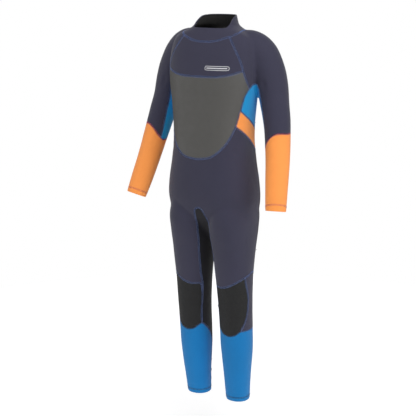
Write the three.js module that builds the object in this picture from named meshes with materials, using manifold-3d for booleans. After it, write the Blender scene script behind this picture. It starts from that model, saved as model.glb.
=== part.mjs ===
// A child's full-length wetsuit: neoprene panels cut from one body shell, a back zip with its slider
// and pull tab, a storm flap behind the zip and a collar that closes with a peel-open tab.
// Millimetres, +Z up, +X the wearer's left, the front faces -Y. The origin is the middle of the neck opening.
import * as THREE from "three";
import { mergeVertices } from "three/addons/utils/BufferGeometryUtils.js";
import Module from "manifold-3d";

const wasm = await Module();
wasm.setup();

// ---- Driving dimensions -------------------------------------------------------------------------
const WALL = 3; // neoprene thickness
const SEAM_GAP = 0.3; // clearance between neighbouring panels and stacked layers
const INSEAM = 464; // ankle hem to crotch
const TRUNK = 512; // crotch to the front of the collar seam
const SLEEVE = 395; // shoulder point to cuff
const HIP_WIDTH = 250; // across the hips
const COLLAR_HEIGHT = 42.5; // at the nape

const ZIP_LENGTH = 375; // row of teeth
const ZIP_TOP_DROP = 14; // top of the teeth below the collar seam at the nape
const ZIP_SLIT = 13; // width between the two back panels
const ZIP_RUNOUT = 12; // the slit runs on this far past the foot of the teeth
const TAPE_THICKNESS = 0.9;
const TAPE_WIDTH = 12.5; // each half, from under its teeth
const TEETH_WIDTH = 2.6; // each row
const TEETH_HEIGHT = 2.4;
const TEETH_SPLIT = 1.6; // gap between the rows that the slider's wedge runs in
const SLIDER_LENGTH = 14;
const SLIDER_WIDTH = 10.4;
const SLIDER_PLATE = 1.4;
const RUNNING_GAP = 0.4; // slider to teeth and tape, pull tab to its bridge
const PULL_LENGTH = 30;
const PULL_THICKNESS = 1.6;
const FLAP_WIDTH = 46; // storm flap behind the zip
const FLAP_THICKNESS = 1.5;
const FLAP_SEAM = 5; // the edge that is sewn to the left back panel

const TAB_REACH = 32; // free end of the collar tab past the centre of the back
const TAB_ROOT = 24; // its sewn edge on the other side of the centre
const TAB_SEAM = 6; // width that is sewn down
const TAB_THICKNESS = 2.2;
const TAB_MARGIN = 5; // tab edges inside the collar's edges
const PATCH_MARGIN = 3; // hook and loop patches inside the tab's edges
const PATCH_THICKNESS = 0.8; // each hook or loop patch
const PRINT_THICKNESS = 0.4; // chest badge and the woven labels
const BADGE = { x: 16, width: 64, z: 905, height: 11 };
const SIZE_LABEL = { x: 28, width: 22, z: 962, height: 16 };
const CARE_LABEL = { x: 34, width: 30, z: 632, height: 44 };

// ---- Grading: the pattern block below is drawn at these sizes and graded to the ones above -------
const BLOCK = { inseam: 460, trunk: 512, sleeve: 400, hip: 250 };
const GIRTH = HIP_WIDTH / BLOCK.hip;
const SHOULDER = { x: 116, y: 35, z: 936 }; // shoulder point of the block

const level = (z) =>
  z < BLOCK.inseam
    ? (z * INSEAM) / BLOCK.inseam
    : INSEAM + ((z - BLOCK.inseam) * TRUNK) / BLOCK.trunk;
const across = (v) => v * GIRTH;
const onBody = ([h, z]) => [across(h), level(z)];
const sleeveGrade = SLEEVE / BLOCK.sleeve;
const armAcross = (v, axis) => across(SHOULDER[axis]) + (v - SHOULDER[axis]) * sleeveGrade;
const armLevel = (z) => level(SHOULDER.z) + (z - SHOULDER.z) * sleeveGrade;
const onArm = ([x, z]) => [armAcross(x, "x"), armLevel(z)];

// The back is one straight line behind the zip, so that the slider runs true.
const BACK_FOOT = { z: 570, y: 95 };
const BACK_HEAD = { z: 1000, y: 76 };
const backAt = (z) =>
  BACK_FOOT.y + ((z - BACK_FOOT.z) * (BACK_HEAD.y - BACK_FOOT.y)) / (BACK_HEAD.z - BACK_FOOT.z);

// Trunk sections: height, half width, front and back depth.
const TRUNK_SECTIONS = [
  [448, 34, 6, 26],
  [456, 60, 18, 48],
  [472, 92, 36, 70],
  [500, 113, 58, 88],
  [535, 120, 82, 95.5],
  [570, 123, 95, backAt(570)],
  [612, 119, 99, backAt(612)],
  [660, 111, 98, backAt(660)],
  [711, 105, 96, backAt(711)],
  [760, 106, 93, backAt(760)],
  [818, 113, 88, backAt(818)],
  [870, 120, 86, backAt(870)],
  [910, 122, 79, backAt(910)],
  [940, 120, 71, backAt(940)],
  [962, 116, 62, backAt(962)],
  [976, 111, 56, backAt(976)],
  [988, 102, 50, backAt(988)],
  [996, 88, 46, backAt(996)],
  [1004, 69, 42, 76],
  [1012, 56.5, 39, 73],
  [1022, 53, 36, 69.5],
  [1034, 50.5, 34, 66.5],
  [1050, 49, 33, 65],
];
// Left leg sections: height, inner and outer edge, front and back edge.
const LEG_SECTIONS = [
  [0, 29.5, 93.5, -7, 57],
  [72, 26, 99, -19, 55],
  [150, 21, 106, -30, 57],
  [195, 20, 107, -34, 55],
  [268, 18.5, 108.5, -41, 50],
  [320, 15.5, 110, -47, 49],
  [367, 11.5, 112, -54, 51],
  [430, 6.5, 115, -67, 64],
  [475, 2.5, 117, -80, 80],
  [520, 5, 117, -86, 88],
  [590, 18, 102, -72, 76],
];
// Left sleeve: centre x, y, z and radius.
const SLEEVE_SECTIONS = [
  [58, 22, 966, 36],
  [92, 30, 958, 44],
  [116, 35, 936, 47],
  [138, 34, 898, 44.5],
  [151.5, 32, 861, 41],
  [161.5, 28, 818, 37.5],
  [174, 18, 770, 35],
  [183.5, 5, 723, 33],
  [193, -14, 665, 31],
  [202, -35, 610, 29],
  [212, -59, 552, 26.5],
];
const NAPE_SEAM = 996; // height of the collar seam at the centre of the back
const RIM_DROP = 30; // the collar's top edge is this much lower at the throat than at the nape
// The top edge from throat to nape: y, and the share of the drop that it has risen.
const RIM_CURVE = [
  [-33, 0],
  [-26, 0.06],
  [-18, 0.2],
  [-8, 0.42],
  [1, 0.62],
  [14, 0.84],
  [28, 0.95],
  [45, 0.99],
  [66, 1],
];
const RIM = RIM_CURVE.map(([y, share]) => [y, NAPE_SEAM + COLLAR_HEIGHT - RIM_DROP * (1 - share)]);

// ---- Seams, drawn on the block. "front" outlines are x, z and "side" outlines are y, z -----------
const COLLAR_SEAM = [
  [-160, 962],
  [-60, 971.5],
  [-55, 976],
  [-48, 983],
  [-38, 990],
  [-22, 996],
  [10, 1001],
  [48, 999],
  [77, NAPE_SEAM],
  [160, 994],
];
const YOKE_SEAM = [[0, 888], [45, 889], [85, 895], [126, 912]];
const RAGLAN_SEAM = [
  [60, 1000],
  [70, 984],
  [80, 968],
  [90, 951],
  [101, 929],
  [108, 905],
  [113, 878],
  [118, 845],
];
const BACK_RAGLAN = [[46, 1010], [70, 955], [92, 905], [110, 860], [118, 845]];
const BIB_EDGE = [[0, 679], [40, 685], [74, 717], [92, 762], [101, 806], [108, 840], [120, 868]];
const WAIST_TOP = [[-70, 820], [-50, 804], [0, 772], [40, 746], [62, 735]];
const WAIST_FOOT = [[-74, 778], [-58, 765], [0, 724], [40, 692], [66, 680]];
// The flank panel's edge over the waist seam.
const FLANK_EDGE = [[62, 856], [40, 870], [-12, 868], [-28, 854], [-38, 834], [-43, 802]];
const FLANK_DEPTH = 60; // the side panels and waist inserts start this far from the centre
const SEAT_SEAM = [[0, 596], [60, 618], [140, 625]]; // across the small of the back
const SIDE_SEAM_Y = 32; // front and back panels meet here
const KNEE_SIDE_Y = -3; // the knee pad meets the calf panel here
const KNEE_SEAM = [[-2, 346], [24, 329], [48, 329], [66, 334], [85, 344], [98, 352], [108, 361], [130, 380]];
const KNEE_BACK = 368; // knee seam behind the leg
const PAD_FOOT = [[24, 229], [30, 211], [45, 197], [66, 191], [86, 196], [100, 209], [112, 225]];
// Outer edge of the pad, seen from the side.
const PAD_SIDE = [[-26, 380], [-23, 350], [-14, 325], [-8, 300], [-7, 275], [-10, 250], [-19, 222], [-36, 190]];
const CALF_FOOT = 209; // lower edge of the calf panel
const CROTCH_ARCH = [[0, 552], [9, 546], [15, 530], [18, 505], [19, 480], [18.5, 455], [17, 430]];
const INNER_FRONT = [
  [36, 30],
  [30, 150],
  [6, 190],
  [-14, 210],
  [-20, 230],
  [-24, 320],
  [-34, 360],
  [-50, 445],
  [-60, 500],
];
const INNER_BACK = [[60, 500], [50, 445], [46, 360], [46, 205], [50, 150], [46, 30]];
const ELBOW_SEAM = [[128, 672], [146, 688], [158, 706], [172, 729], [188, 743], [205, 745], [228, 739]];
// The blue panel's edge on the sleeve.
const UNDERARM = [[131, 858], [137, 820], [148, 770], [158, 705], [134, 660], [124, 740]];
const SLEEVE_GAP = [[118, 840], [119, 790], [130, 700], [142, 600]]; // between the trunk and the sleeve

const FRONT = -220;
const REAR = 220;
const WIDE = 400;
const TALL = 2400;
const LOW = -60;

// ---- Solids --------------------------------------------------------------------------------------
function solidFrom(positions, triangles) {
  return new wasm.Manifold(
    new wasm.Mesh({
      numProp: 3,
      vertProperties: new Float32Array(positions),
      triVerts: new Uint32Array(triangles),
    }),
  );
}

function solidOf(geometry) {
  const bare = geometry.index ? geometry.toNonIndexed() : geometry;
  bare.deleteAttribute("normal");
  bare.deleteAttribute("uv");
  const merged = mergeVertices(bare, 1e-4);
  return solidFrom(merged.attributes.position.array, merged.index.array);
}

// Joins rings of points, each one section, into a closed tube with flat ends.
function tubeThrough(rings) {
  const sides = rings[0].length;
  const positions = rings.flat(2);
  const triangles = [];
  for (let row = 0; row + 1 < rings.length; row++)
    for (let i = 0; i < sides; i++) {
      const a = row * sides + i;
      const b = row * sides + ((i + 1) % sides);
      triangles.push(a, b, b + sides, a, b + sides, a + sides);
    }
  const last = (rings.length - 1) * sides;
  for (let i = 1; i + 1 < sides; i++) {
    triangles.push(0, i + 1, i);
    triangles.push(last, last + i, last + i + 1);
  }
  const solid = solidFrom(positions, triangles);
  if (solid.volume() > 0) return solid;
  for (let i = 0; i < triangles.length; i += 3)
    [triangles[i + 1], triangles[i + 2]] = [triangles[i + 2], triangles[i + 1]];
  return solidFrom(positions, triangles);
}

// A rounded section: its point at a turn round the middle, squarer than an ellipse for power over 2.
function roundedPoint(turn, halfWidth, halfDepth, power) {
  const c = Math.cos(turn);
  const s = Math.sin(turn);
  return [
    Math.sign(c) * Math.abs(c) ** (2 / power) * halfWidth,
    Math.sign(s) * Math.abs(s) ** (2 / power) * halfDepth,
  ];
}

// Sections between the drawn ones, on a smooth curve: a function of the first column.
function smoothSections(sections) {
  const width = sections[0].length - 1;
  const curve = new THREE.CubicInterpolant(
    sections.map((s) => s[0]),
    sections.flatMap((s) => s.slice(1)),
    width,
  );
  return (at) => Array.from(curve.evaluate(at)).slice(0, width);
}

const steps = (from, to, count) =>
  Array.from({ length: count + 1 }, (_, i) => from + ((to - from) * i) / count);

const TRUNK_SIDES = 32;
const TRUNK_POWER = 2.4; // how square the trunk's sections are; 2 is an ellipse
const trunkSection = smoothSections(TRUNK_SECTIONS);

function trunk(inset) {
  const neck = [925, 950, 966, 980, 990, 1000, 1010, 1022, 1036, 1050];
  const heights = [448, 456, 472, 500, ...steps(535, 895, 8), ...neck];
  const rings = heights.map((z) => {
    const [width, front, back] = trunkSection(z);
    return Array.from({ length: TRUNK_SIDES }, (_, i) => {
      const turn = ((i + 0.5) / TRUNK_SIDES) * 2 * Math.PI;
      const depth = Math.sin(turn) < 0 ? front : back;
      const [x, y] = roundedPoint(turn, across(width) - inset, across(depth) - inset, TRUNK_POWER);
      return [x, y, level(z)];
    });
  });
  if (inset > 0) {
    rings.push(rings.at(-1).map(([x, y, z]) => [x, y, z + 12]));
    rings[0] = rings[0].map(([x, y, z]) => [x, y, z + inset]);
  }
  return tubeThrough(rings);
}

const LEG_SIDES = 18;
const LEG_POWER = 2.15;
const legSection = smoothSections(LEG_SECTIONS);

function leg(side, inset) {
  const heights = [0, 72, 150, 210, 268, 320, 367, 400, 430, 475, 520, 555, 590];
  const rings = heights.map((z) => {
    const [inner, outer, front, back] = legSection(z).map(across);
    return Array.from({ length: LEG_SIDES }, (_, i) => {
      const turn = ((i + 0.5) / LEG_SIDES) * 2 * Math.PI;
      const [x, y] = roundedPoint(turn, (outer - inner) / 2 - inset, (back - front) / 2 - inset, LEG_POWER);
      return [side * ((outer + inner) / 2 + x), (front + back) / 2 + y, level(z)];
    });
  });
  if (inset > 0) rings.unshift(rings[0].map(([x, y, z]) => [x, y, z - 12]));
  return tubeThrough(rings);
}

const SLEEVE_SIDES = 18;
// Where each cuff's edge faces.
const CUFF_FACES = { left: [0.055, -0.225, -0.973], right: [0.16, -0.37, -0.915] };
const sleeveSection = smoothSections(SLEEVE_SECTIONS.map((s, i) => [i, ...s]));

function sleeve(side, inset) {
  const places = [0, 1, 1.5, 2, 2.5, 3, 4, 5, 6, 7, 8, 9, 10];
  const centre = (at) => {
    const [x, y, z, radius] = sleeveSection(at);
    return { at: new THREE.Vector3(armAcross(x, "x"), armAcross(y, "y"), armLevel(z)), radius: across(radius) };
  };
  const cuff = new THREE.Vector3(...CUFF_FACES[side > 0 ? "left" : "right"]);
  const rings = places.map((at) => {
    const here = centre(at);
    const along = centre(Math.min(at + 0.05, 10)).at.sub(centre(Math.max(at - 0.05, 0)).at).normalize();
    const fore = new THREE.Vector3(0, 1, 0).addScaledVector(along, -along.y).normalize();
    const wide = new THREE.Vector3().crossVectors(fore, along);
    const points = ringAround(here.at, wide, fore, here.radius - inset);
    return { ...here, along, points: at < 10 ? points : slanted(points, here.at, along, cuff) };
  });
  const loops = rings.map((r) => r.points);
  if (inset > 0) {
    const end = rings.at(-1);
    const past = end.along.clone().multiplyScalar(12);
    loops.push(end.points.map(([x, y, z]) => [x + past.x, y + past.y, z + past.z]));
  }
  return tubeThrough(loops.map((loop) => loop.map(([x, y, z]) => [side * x, y, z])));
}

// Slides a ring's points along the sleeve until they lie in the plane that faces a given way.
function slanted(points, centre, along, facing) {
  return points.map((point) => {
    const p = new THREE.Vector3(...point);
    const off = p.clone().sub(centre).dot(facing) / along.dot(facing);
    return p.addScaledVector(along, -off).toArray();
  });
}

function ringAround(centre, wide, fore, radius) {
  return Array.from({ length: SLEEVE_SIDES }, (_, i) => {
    const turn = ((i + 0.5) / SLEEVE_SIDES) * 2 * Math.PI;
    return centre
      .clone()
      .addScaledVector(wide, radius * Math.cos(turn))
      .addScaledVector(fore, radius * Math.sin(turn))
      .toArray();
  });
}

function form(inset) {
  const parts = [leg(1, inset), leg(-1, inset), sleeve(1, inset), sleeve(-1, inset)];
  return parts.reduce((whole, part) => whole.add(part), trunk(inset));
}

// ---- Cutters -------------------------------------------------------------------------------------
// Moves each side of a closed outline outwards.
function grown(outline, by) {
  const turnsLeft = THREE.ShapeUtils.area(outline.map(([x, y]) => new THREE.Vector2(x, y))) > 0;
  const points = turnsLeft ? outline : [...outline].reverse();
  return points.map((point, i) => {
    const here = new THREE.Vector2(...point);
    const before = here.clone().sub(new THREE.Vector2(...points.at(i - 1))).normalize();
    const after = new THREE.Vector2(...points[(i + 1) % points.length]).sub(here).normalize();
    const miter = new THREE.Vector2(before.y + after.y, -before.x - after.x).normalize();
    const stretch = Math.max(0.3, miter.x * after.y - miter.y * after.x);
    return here.addScaledVector(miter, by / stretch).toArray();
  });
}

// Rounds an open run of seam points into a smooth line.
function smoothLine(points, perSpan = 2) {
  const corners = points.map(([a, b]) => new THREE.Vector3(a, b, 0));
  const curve = new THREE.CatmullRomCurve3(corners, false, "centripetal");
  return curve.getPoints((points.length - 1) * perSpan).map((p) => [p.x, p.y]);
}

function prism(outline, from, to, place) {
  const shape = new THREE.Shape(outline.map(([x, y]) => new THREE.Vector2(x, y)));
  const geometry = new THREE.ExtrudeGeometry(shape, { depth: to - from, bevelEnabled: false, steps: 1 });
  geometry.translate(0, 0, from);
  geometry.applyMatrix4(place);
  return solidOf(geometry);
}

// Outline x, z, pushed through y; and outline y, z, pushed through x.
const THROUGH_Y = new THREE.Matrix4().makeRotationX(Math.PI / 2);
const THROUGH_X = new THREE.Matrix4().makeBasis(
  new THREE.Vector3(0, 1, 0),
  new THREE.Vector3(0, 0, 1),
  new THREE.Vector3(1, 0, 0),
);
const frontCut = (outline, y0, y1) => ({
  bare: () => prism(outline, -y1, -y0, THROUGH_Y),
  clear: () => prism(grown(outline, SEAM_GAP), -y1 - SEAM_GAP, -y0 + SEAM_GAP, THROUGH_Y),
});
const sideCut = (outline, x0, x1) => ({
  bare: () => prism(outline, x0, x1, THROUGH_X),
  clear: () => prism(grown(outline, SEAM_GAP), x0 - SEAM_GAP, x1 + SEAM_GAP, THROUGH_X),
});
const joined = (...cuts) => ({
  bare: () => cuts.map((c) => c.bare()).reduce((a, b) => a.add(b)),
  clear: () => cuts.map((c) => c.clear()).reduce((a, b) => a.add(b)),
});
const within = (a, b) => ({
  bare: () => a.bare().intersect(b.bare()),
  clear: () => a.clear().intersect(b.clear()),
});
const mirrored = (outline) => outline.map(([x, z]) => [-x, z]);
const bothWays = (half) => [...mirrored(half).reverse(), ...half.filter(([x]) => x > 0)];

// ---- The suit ------------------------------------------------------------------------------------
const NAVY = 0x434252;
const ORANGE = 0xfdac5f;
const BLUE = 0x1f79b6;
const SKIN_GREY = 0x585756;
const KNEE_BLACK = 0x2b2b2c;
const LINING_BLACK = 0x26262a;
const NICKEL = 0x9a9da3;
const PRINT_WHITE = 0xd9dadd;

const suit = new THREE.Group();
const [throat, nape] = [RIM[0], RIM.at(-1)];
const neckY = across((throat[0] + nape[0]) / 2);
const neckZ = (level(throat[1]) + level(nape[1])) / 2;
suit.position.set(0, -neckY, -neckZ);

function addPiece(name, solid, colour, roughness = 0.9, metalness = 0, into = suit) {
  const { vertProperties, numProp, numVert, triVerts } = solid.getMesh();
  const positions = new Float32Array(numVert * 3);
  for (let i = 0; i < numVert; i++) positions.set(vertProperties.subarray(i * numProp, i * numProp + 3), i * 3);
  const geometry = new THREE.BufferGeometry();
  geometry.setAttribute("position", new THREE.BufferAttribute(positions, 3));
  geometry.setIndex(new THREE.BufferAttribute(triVerts, 1));
  const material = new THREE.MeshStandardMaterial({ color: colour, roughness, metalness });
  const mesh = new THREE.Mesh(geometry, material);
  mesh.name = name;
  into.add(mesh);
  return mesh;
}

// The largest body of a cut, without the crumbs that a grazing cut can leave.
function largest(solid) {
  const bodies = solid.decompose();
  return bodies.reduce((a, b) => (b.volume() > a.volume() ? b : a));
}

let rest = form(0).subtract(form(WALL));
const rimLine = smoothLine(RIM.map(onBody));
const aboveRim = [[FRONT, rimLine[0][1]], ...rimLine, [REAR, rimLine.at(-1)[1]], [REAR, TALL], [FRONT, TALL]];
rest = rest.subtract(prism(aboveRim, -WIDE, WIDE, THROUGH_X));

function take(name, cut, colour, roughness) {
  const piece = largest(rest.intersect(cut.bare()));
  rest = rest.subtract(cut.clear());
  if (name) addPiece(name, piece, colour, roughness);
  return piece;
}

// Collar, split at the nape.
const collarFoot = smoothLine(COLLAR_SEAM.map(onBody));
const collarCut = sideCut([...collarFoot, [REAR, TALL], [FRONT, TALL]], -WIDE, WIDE);
const collar = largest(rest.intersect(collarCut.bare()));
rest = rest.subtract(collarCut.clear());
const napeSlit = frontCut([[-SEAM_GAP, LOW], [SEAM_GAP, LOW], [SEAM_GAP, TALL], [-SEAM_GAP, TALL]], 0, REAR);
addPiece("collar", collar.subtract(napeSlit.bare()), NAVY);

const turn = (side, outline) => (side > 0 ? outline : mirrored(outline));
const outward = (side, near, far) => (side > 0 ? [near, far] : [-far, -near]);
const HANDS = [
  ["left", 1],
  ["right", -1],
];

// Blue side panels from the waist through the armpit to the elbow, then the forearms and the sleeves.
for (const [hand, side] of HANDS) {
  const waist = smoothLine(WAIST_TOP).filter(([y]) => y > -43 && y < 62);
  const flankX = outward(side, across(FLANK_DEPTH), across(128));
  const flank = sideCut([...waist, ...FLANK_EDGE].map(onBody), ...flankX);
  const armpit = [[116, 838], [116, 866]].map(onBody);
  const underarm = frontCut(turn(side, [...UNDERARM.map(onArm), ...armpit]), across(-16), across(72));
  take(`side_panel_${hand}`, joined(flank, underarm), BLUE);

  const gap = SLEEVE_GAP.map(onBody);
  const outside = [[gap.at(-1)[0], LOW], [WIDE, LOW]];
  const elbow = smoothLine(ELBOW_SEAM).map(onArm);
  const forearm = [...elbow, [WIDE, elbow.at(-1)[1]], [WIDE, LOW], [elbow[0][0], LOW]];
  take(`forearm_${hand}`, frontCut(turn(side, forearm), FRONT, REAR), ORANGE);
  const round = [...gap, ...outside, [WIDE, TALL]];
  const frontHalf = [...smoothLine(RAGLAN_SEAM).map(onBody), ...round, onBody([60, 1100])];
  const backHalf = [...smoothLine(BACK_RAGLAN).map(onBody), ...round, onBody([46, 1100])];
  const shoulderY = across(22);
  take(
    `sleeve_${hand}`,
    joined(frontCut(turn(side, frontHalf), FRONT, shoulderY), frontCut(turn(side, backHalf), shoulderY, REAR)),
    NAVY,
  );
}

// Chest: the yoke over the smooth-skin bib.
const yoke = [...bothWays(smoothLine(YOKE_SEAM)), [160, 1080], [-160, 1080]].map(onBody);
take("chest_yoke", frontCut(yoke, FRONT, across(16)), NAVY);
const bib = [...bothWays(smoothLine(BIB_EDGE)), [120, 960], [-120, 960]].map(onBody);
take("chest_panel", frontCut(bib, FRONT, 0), SKIN_GREY, 0.5);

for (const [hand, side] of HANDS) {
  const band = [...smoothLine(WAIST_TOP), ...smoothLine(WAIST_FOOT).reverse()].map(onBody);
  take(`waist_insert_${hand}`, sideCut(band, ...outward(side, across(FLANK_DEPTH), WIDE)), ORANGE);
}

// Back panels, one each side of the zip.
const backTurn = Math.PI / 2 - Math.PI / TRUNK_SIDES; // the flat facet that straddles the centre of the back
const onBackLine = (z) =>
  new THREE.Vector3(0, roundedPoint(backTurn, 1, across(backAt(z)), TRUNK_POWER)[1], level(z));
const lineFoot = onBackLine(BACK_FOOT.z);
const lineUp = onBackLine(BACK_HEAD.z).sub(lineFoot).normalize();
const headHeight = level(NAPE_SEAM) - ZIP_TOP_DROP;
const slitFoot = headHeight - (ZIP_LENGTH + ZIP_RUNOUT) * lineUp.z;
const slit = ZIP_SLIT / 2;
for (const [hand, side] of HANDS) {
  const foot = smoothLine(SEAT_SEAM).map(onBody);
  foot[0][0] = slit;
  const outline = [...foot, [WIDE, foot.at(-1)[1]], [WIDE, TALL], [slit, TALL]];
  take(`upper_back_${hand}`, frontCut(turn(side, outline), across(SIDE_SEAM_Y), REAR), NAVY);
}
const zipOpening = [[-slit, slitFoot], [slit, slitFoot], [slit, TALL], [-slit, TALL]];
rest = rest.subtract(frontCut(zipOpening, 0, REAR).bare());

// The inner leg panel runs through the crotch and down to both ankles.
const innerLines = [...smoothLine(INNER_FRONT), ...smoothLine(INNER_BACK)];
const inner = sideCut(innerLines.map(onBody), across(-62), across(62));
const arch = frontCut(bothWays(smoothLine(CROTCH_ARCH)).map(onBody), FRONT, 0);
take("inner_leg_panel", joined(inner, arch), LINING_BLACK);

for (const [hand, side] of HANDS) {
  const knee = smoothLine(KNEE_SEAM).filter(([x]) => x > 20);
  const pad = [...smoothLine(PAD_FOOT), ...[...knee].reverse()].map(onBody);
  const padSide = [[FRONT, LOW], ...smoothLine(PAD_SIDE).reverse().map(onBody), [FRONT, TALL]];
  const padFront = frontCut(turn(side, pad), FRONT, across(KNEE_SIDE_Y));
  take(`knee_pad_${hand}`, within(padFront, sideCut(padSide, -WIDE, WIDE)), KNEE_BLACK, 0.6);
  const [foot, top] = [level(CALF_FOOT), level(KNEE_BACK)];
  const lower = [[1, LOW], [WIDE, LOW], [WIDE, foot], [1, foot]];
  take(`lower_leg_${hand}`, frontCut(turn(side, lower), FRONT, REAR), BLUE);
  const calfBack = [[1, foot - WALL], [WIDE, foot - WALL], [WIDE, top], [1, top]];
  const outer = knee.filter(([x]) => x > 60).map(onBody);
  const calfFront = [[outer[0][0], foot - WALL], [outer.at(-1)[0], foot - WALL], ...outer.reverse()];
  const calf = joined(
    frontCut(turn(side, calfBack), across(KNEE_SIDE_Y), REAR),
    frontCut(turn(side, calfFront), FRONT, across(KNEE_SIDE_Y) + SEAM_GAP),
  );
  take(`calf_${hand}`, calf, NAVY);
}

// What is left: the front of the trunk and thighs, and the seat with the backs of the thighs.
const below = [[-WIDE, LOW], [WIDE, LOW], [WIDE, TALL], [-WIDE, TALL]];
take("front_body", frontCut(below, FRONT, across(SIDE_SEAM_Y)), NAVY);
take("seat_panel", frontCut(below, across(SIDE_SEAM_Y), REAR), NAVY);

// ---- Thin layers that follow the body: badge, labels, collar tab and its patches -----------------
// A patch of the body's form between two heights over its surface, negative ones inside the suit.
function layer(low, high, x0, x1, z0, z1, ySide) {
  const skin = trunk(-high).subtract(trunk(-low));
  const outline = [[x0, z0], [x1, z0], [x1, z1], [x0, z1]];
  const window = ySide < 0 ? frontCut(outline, FRONT, 0) : frontCut(outline, 0, REAR);
  return largest(skin.intersect(window.bare()));
}

function label(name, place, low, high, ySide) {
  const [x0, z0] = onBody([place.x, place.z]);
  addPiece(name, layer(low, high, x0, x0 + place.width, z0, z0 + place.height, ySide), PRINT_WHITE, 0.7);
}
label("chest_badge", BADGE, SEAM_GAP, SEAM_GAP + PRINT_THICKNESS, -1);
const labelOuter = -WALL - SEAM_GAP;
label("size_label", SIZE_LABEL, labelOuter - PRINT_THICKNESS, labelOuter, 1);
label("care_label", CARE_LABEL, labelOuter - PRINT_THICKNESS, labelOuter, 1);

const loopTop = SEAM_GAP + PATCH_THICKNESS;
const hookTop = loopTop + SEAM_GAP + PATCH_THICKNESS;
const tabUnder = hookTop + SEAM_GAP;
const tabOver = tabUnder + TAB_THICKNESS;
const tabFoot = level(NAPE_SEAM) + TAB_MARGIN;
const tabHead = level(NAPE_SEAM + COLLAR_HEIGHT) - TAB_MARGIN;
const tabFlap = layer(tabUnder, tabOver, -TAB_REACH, TAB_ROOT, tabFoot, tabHead, 1);
const seamOver = tabUnder + TAB_THICKNESS / 2;
const tabSeam = layer(SEAM_GAP, seamOver, TAB_ROOT - TAB_SEAM, TAB_ROOT, tabFoot, tabHead, 1);
addPiece("collar_tab", tabFlap.add(tabSeam), NAVY);
const patchEnds = [PATCH_MARGIN - TAB_REACH, TAB_ROOT - TAB_SEAM - PATCH_MARGIN];
const patchHeights = [tabFoot + PATCH_MARGIN, tabHead - PATCH_MARGIN];
addPiece("hook_patch", layer(loopTop + SEAM_GAP, hookTop, ...patchEnds, ...patchHeights, 1), LINING_BLACK);
addPiece("loop_patch", layer(SEAM_GAP, loopTop, ...patchEnds, ...patchHeights, 1), LINING_BLACK);

// ---- Zip, in a frame of its own: z runs up the teeth, y points out of the back --------------------
const zipHead = lineFoot.clone().addScaledVector(lineUp, (headHeight - lineFoot.z) / lineUp.z);
const zip = new THREE.Group();
zip.position.copy(zipHead).addScaledVector(lineUp, -ZIP_LENGTH);
zip.rotation.x = -Math.asin(lineUp.y);
suit.add(zip);

function block(x0, x1, y0, y1, z0, z1) {
  const box = new THREE.BoxGeometry(x1 - x0, y1 - y0, z1 - z0);
  box.translate((x0 + x1) / 2, (y0 + y1) / 2, (z0 + z1) / 2);
  return solidOf(box);
}

const tapeTop = -WALL - SEAM_GAP;
const tapeUnder = tapeTop - TAPE_THICKNESS;
const teethFoot = tapeTop + SEAM_GAP;
const teethTop = teethFoot + TEETH_HEIGHT;
const teethNear = TEETH_SPLIT / 2;
const teethFar = teethNear + TEETH_WIDTH;
const STOP_LENGTH = 4;
const TAPE_OVERRUN = 8;
for (const [hand, side] of HANDS) {
  const tapeX = outward(side, teethNear, teethNear + TAPE_WIDTH);
  const tape = block(...tapeX, tapeUnder, tapeTop, -TAPE_OVERRUN, ZIP_LENGTH + TAPE_OVERRUN);
  addPiece(`zip_tape_${hand}`, tape, LINING_BLACK, 0.9, 0, zip);
  const teeth = block(...outward(side, teethNear, teethFar), teethFoot, teethTop, 0, ZIP_LENGTH);
  addPiece(`zip_teeth_${hand}`, teeth, LINING_BLACK, 0.5, 0, zip);
  const stopFoot = ZIP_LENGTH + SEAM_GAP;
  const stopX = outward(side, teethNear, teethFar);
  const stop = block(...stopX, teethFoot, teethTop, stopFoot, stopFoot + STOP_LENGTH);
  addPiece(`top_stop_${hand}`, stop, NICKEL, 0.4, 1, zip);
}
const endStop = block(-teethFar, teethFar, teethFoot, teethTop, -SEAM_GAP - STOP_LENGTH, -SEAM_GAP);
addPiece("bottom_stop", endStop, NICKEL, 0.4, 1, zip);

// The slider straddles both rows: a plate over them, one under the tapes and a wedge between.
const sliderTop = ZIP_LENGTH - 1;
const sliderFoot = sliderTop - SLIDER_LENGTH;
const halfSlider = SLIDER_WIDTH / 2;
const overTeeth = teethTop + RUNNING_GAP;
const underTape = tapeUnder - RUNNING_GAP;
const lip = halfSlider - 1;
const wedge = teethNear - SEAM_GAP;
const BRIDGE = { radius: 0.8, rise: 2.4, half: 3.8, ear: 1, earHalf: 2 };
const SUNK = 0.1; // how far joined parts of one casting run into each other
const bridgeY = overTeeth + SLIDER_PLATE + BRIDGE.rise;
const bridgeZ = (sliderTop + sliderFoot) / 2;

function crossBar(radius, halfLength, y, z, sides = 12) {
  const bar = new THREE.CylinderGeometry(radius, radius, 2 * halfLength, sides);
  bar.rotateZ(Math.PI / 2);
  bar.translate(0, y, z);
  return solidOf(bar);
}

let slider = block(-halfSlider, halfSlider, overTeeth, overTeeth + SLIDER_PLATE, sliderFoot, sliderTop)
  .add(block(-halfSlider, halfSlider, underTape - SLIDER_PLATE, underTape, sliderFoot, sliderTop))
  .add(block(-wedge, wedge, underTape - SUNK, overTeeth + SUNK, sliderTop - SLIDER_LENGTH / 2, sliderTop))
  .add(crossBar(BRIDGE.radius, BRIDGE.half, bridgeY, bridgeZ));
for (const side of [1, -1]) {
  const lipX = outward(side, lip, halfSlider);
  slider = slider.add(block(...lipX, tapeTop + RUNNING_GAP, overTeeth + SUNK, sliderFoot, sliderTop));
  const earX = outward(side, BRIDGE.half - BRIDGE.ear, BRIDGE.half);
  const earTop = bridgeY + BRIDGE.radius;
  const earZ = [bridgeZ - BRIDGE.earHalf, bridgeZ + BRIDGE.earHalf];
  slider = slider.add(block(...earX, overTeeth + SLIDER_PLATE - SUNK, earTop, ...earZ));
}
addPiece("zip_slider", slider, NICKEL, 0.35, 1, zip);

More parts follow.
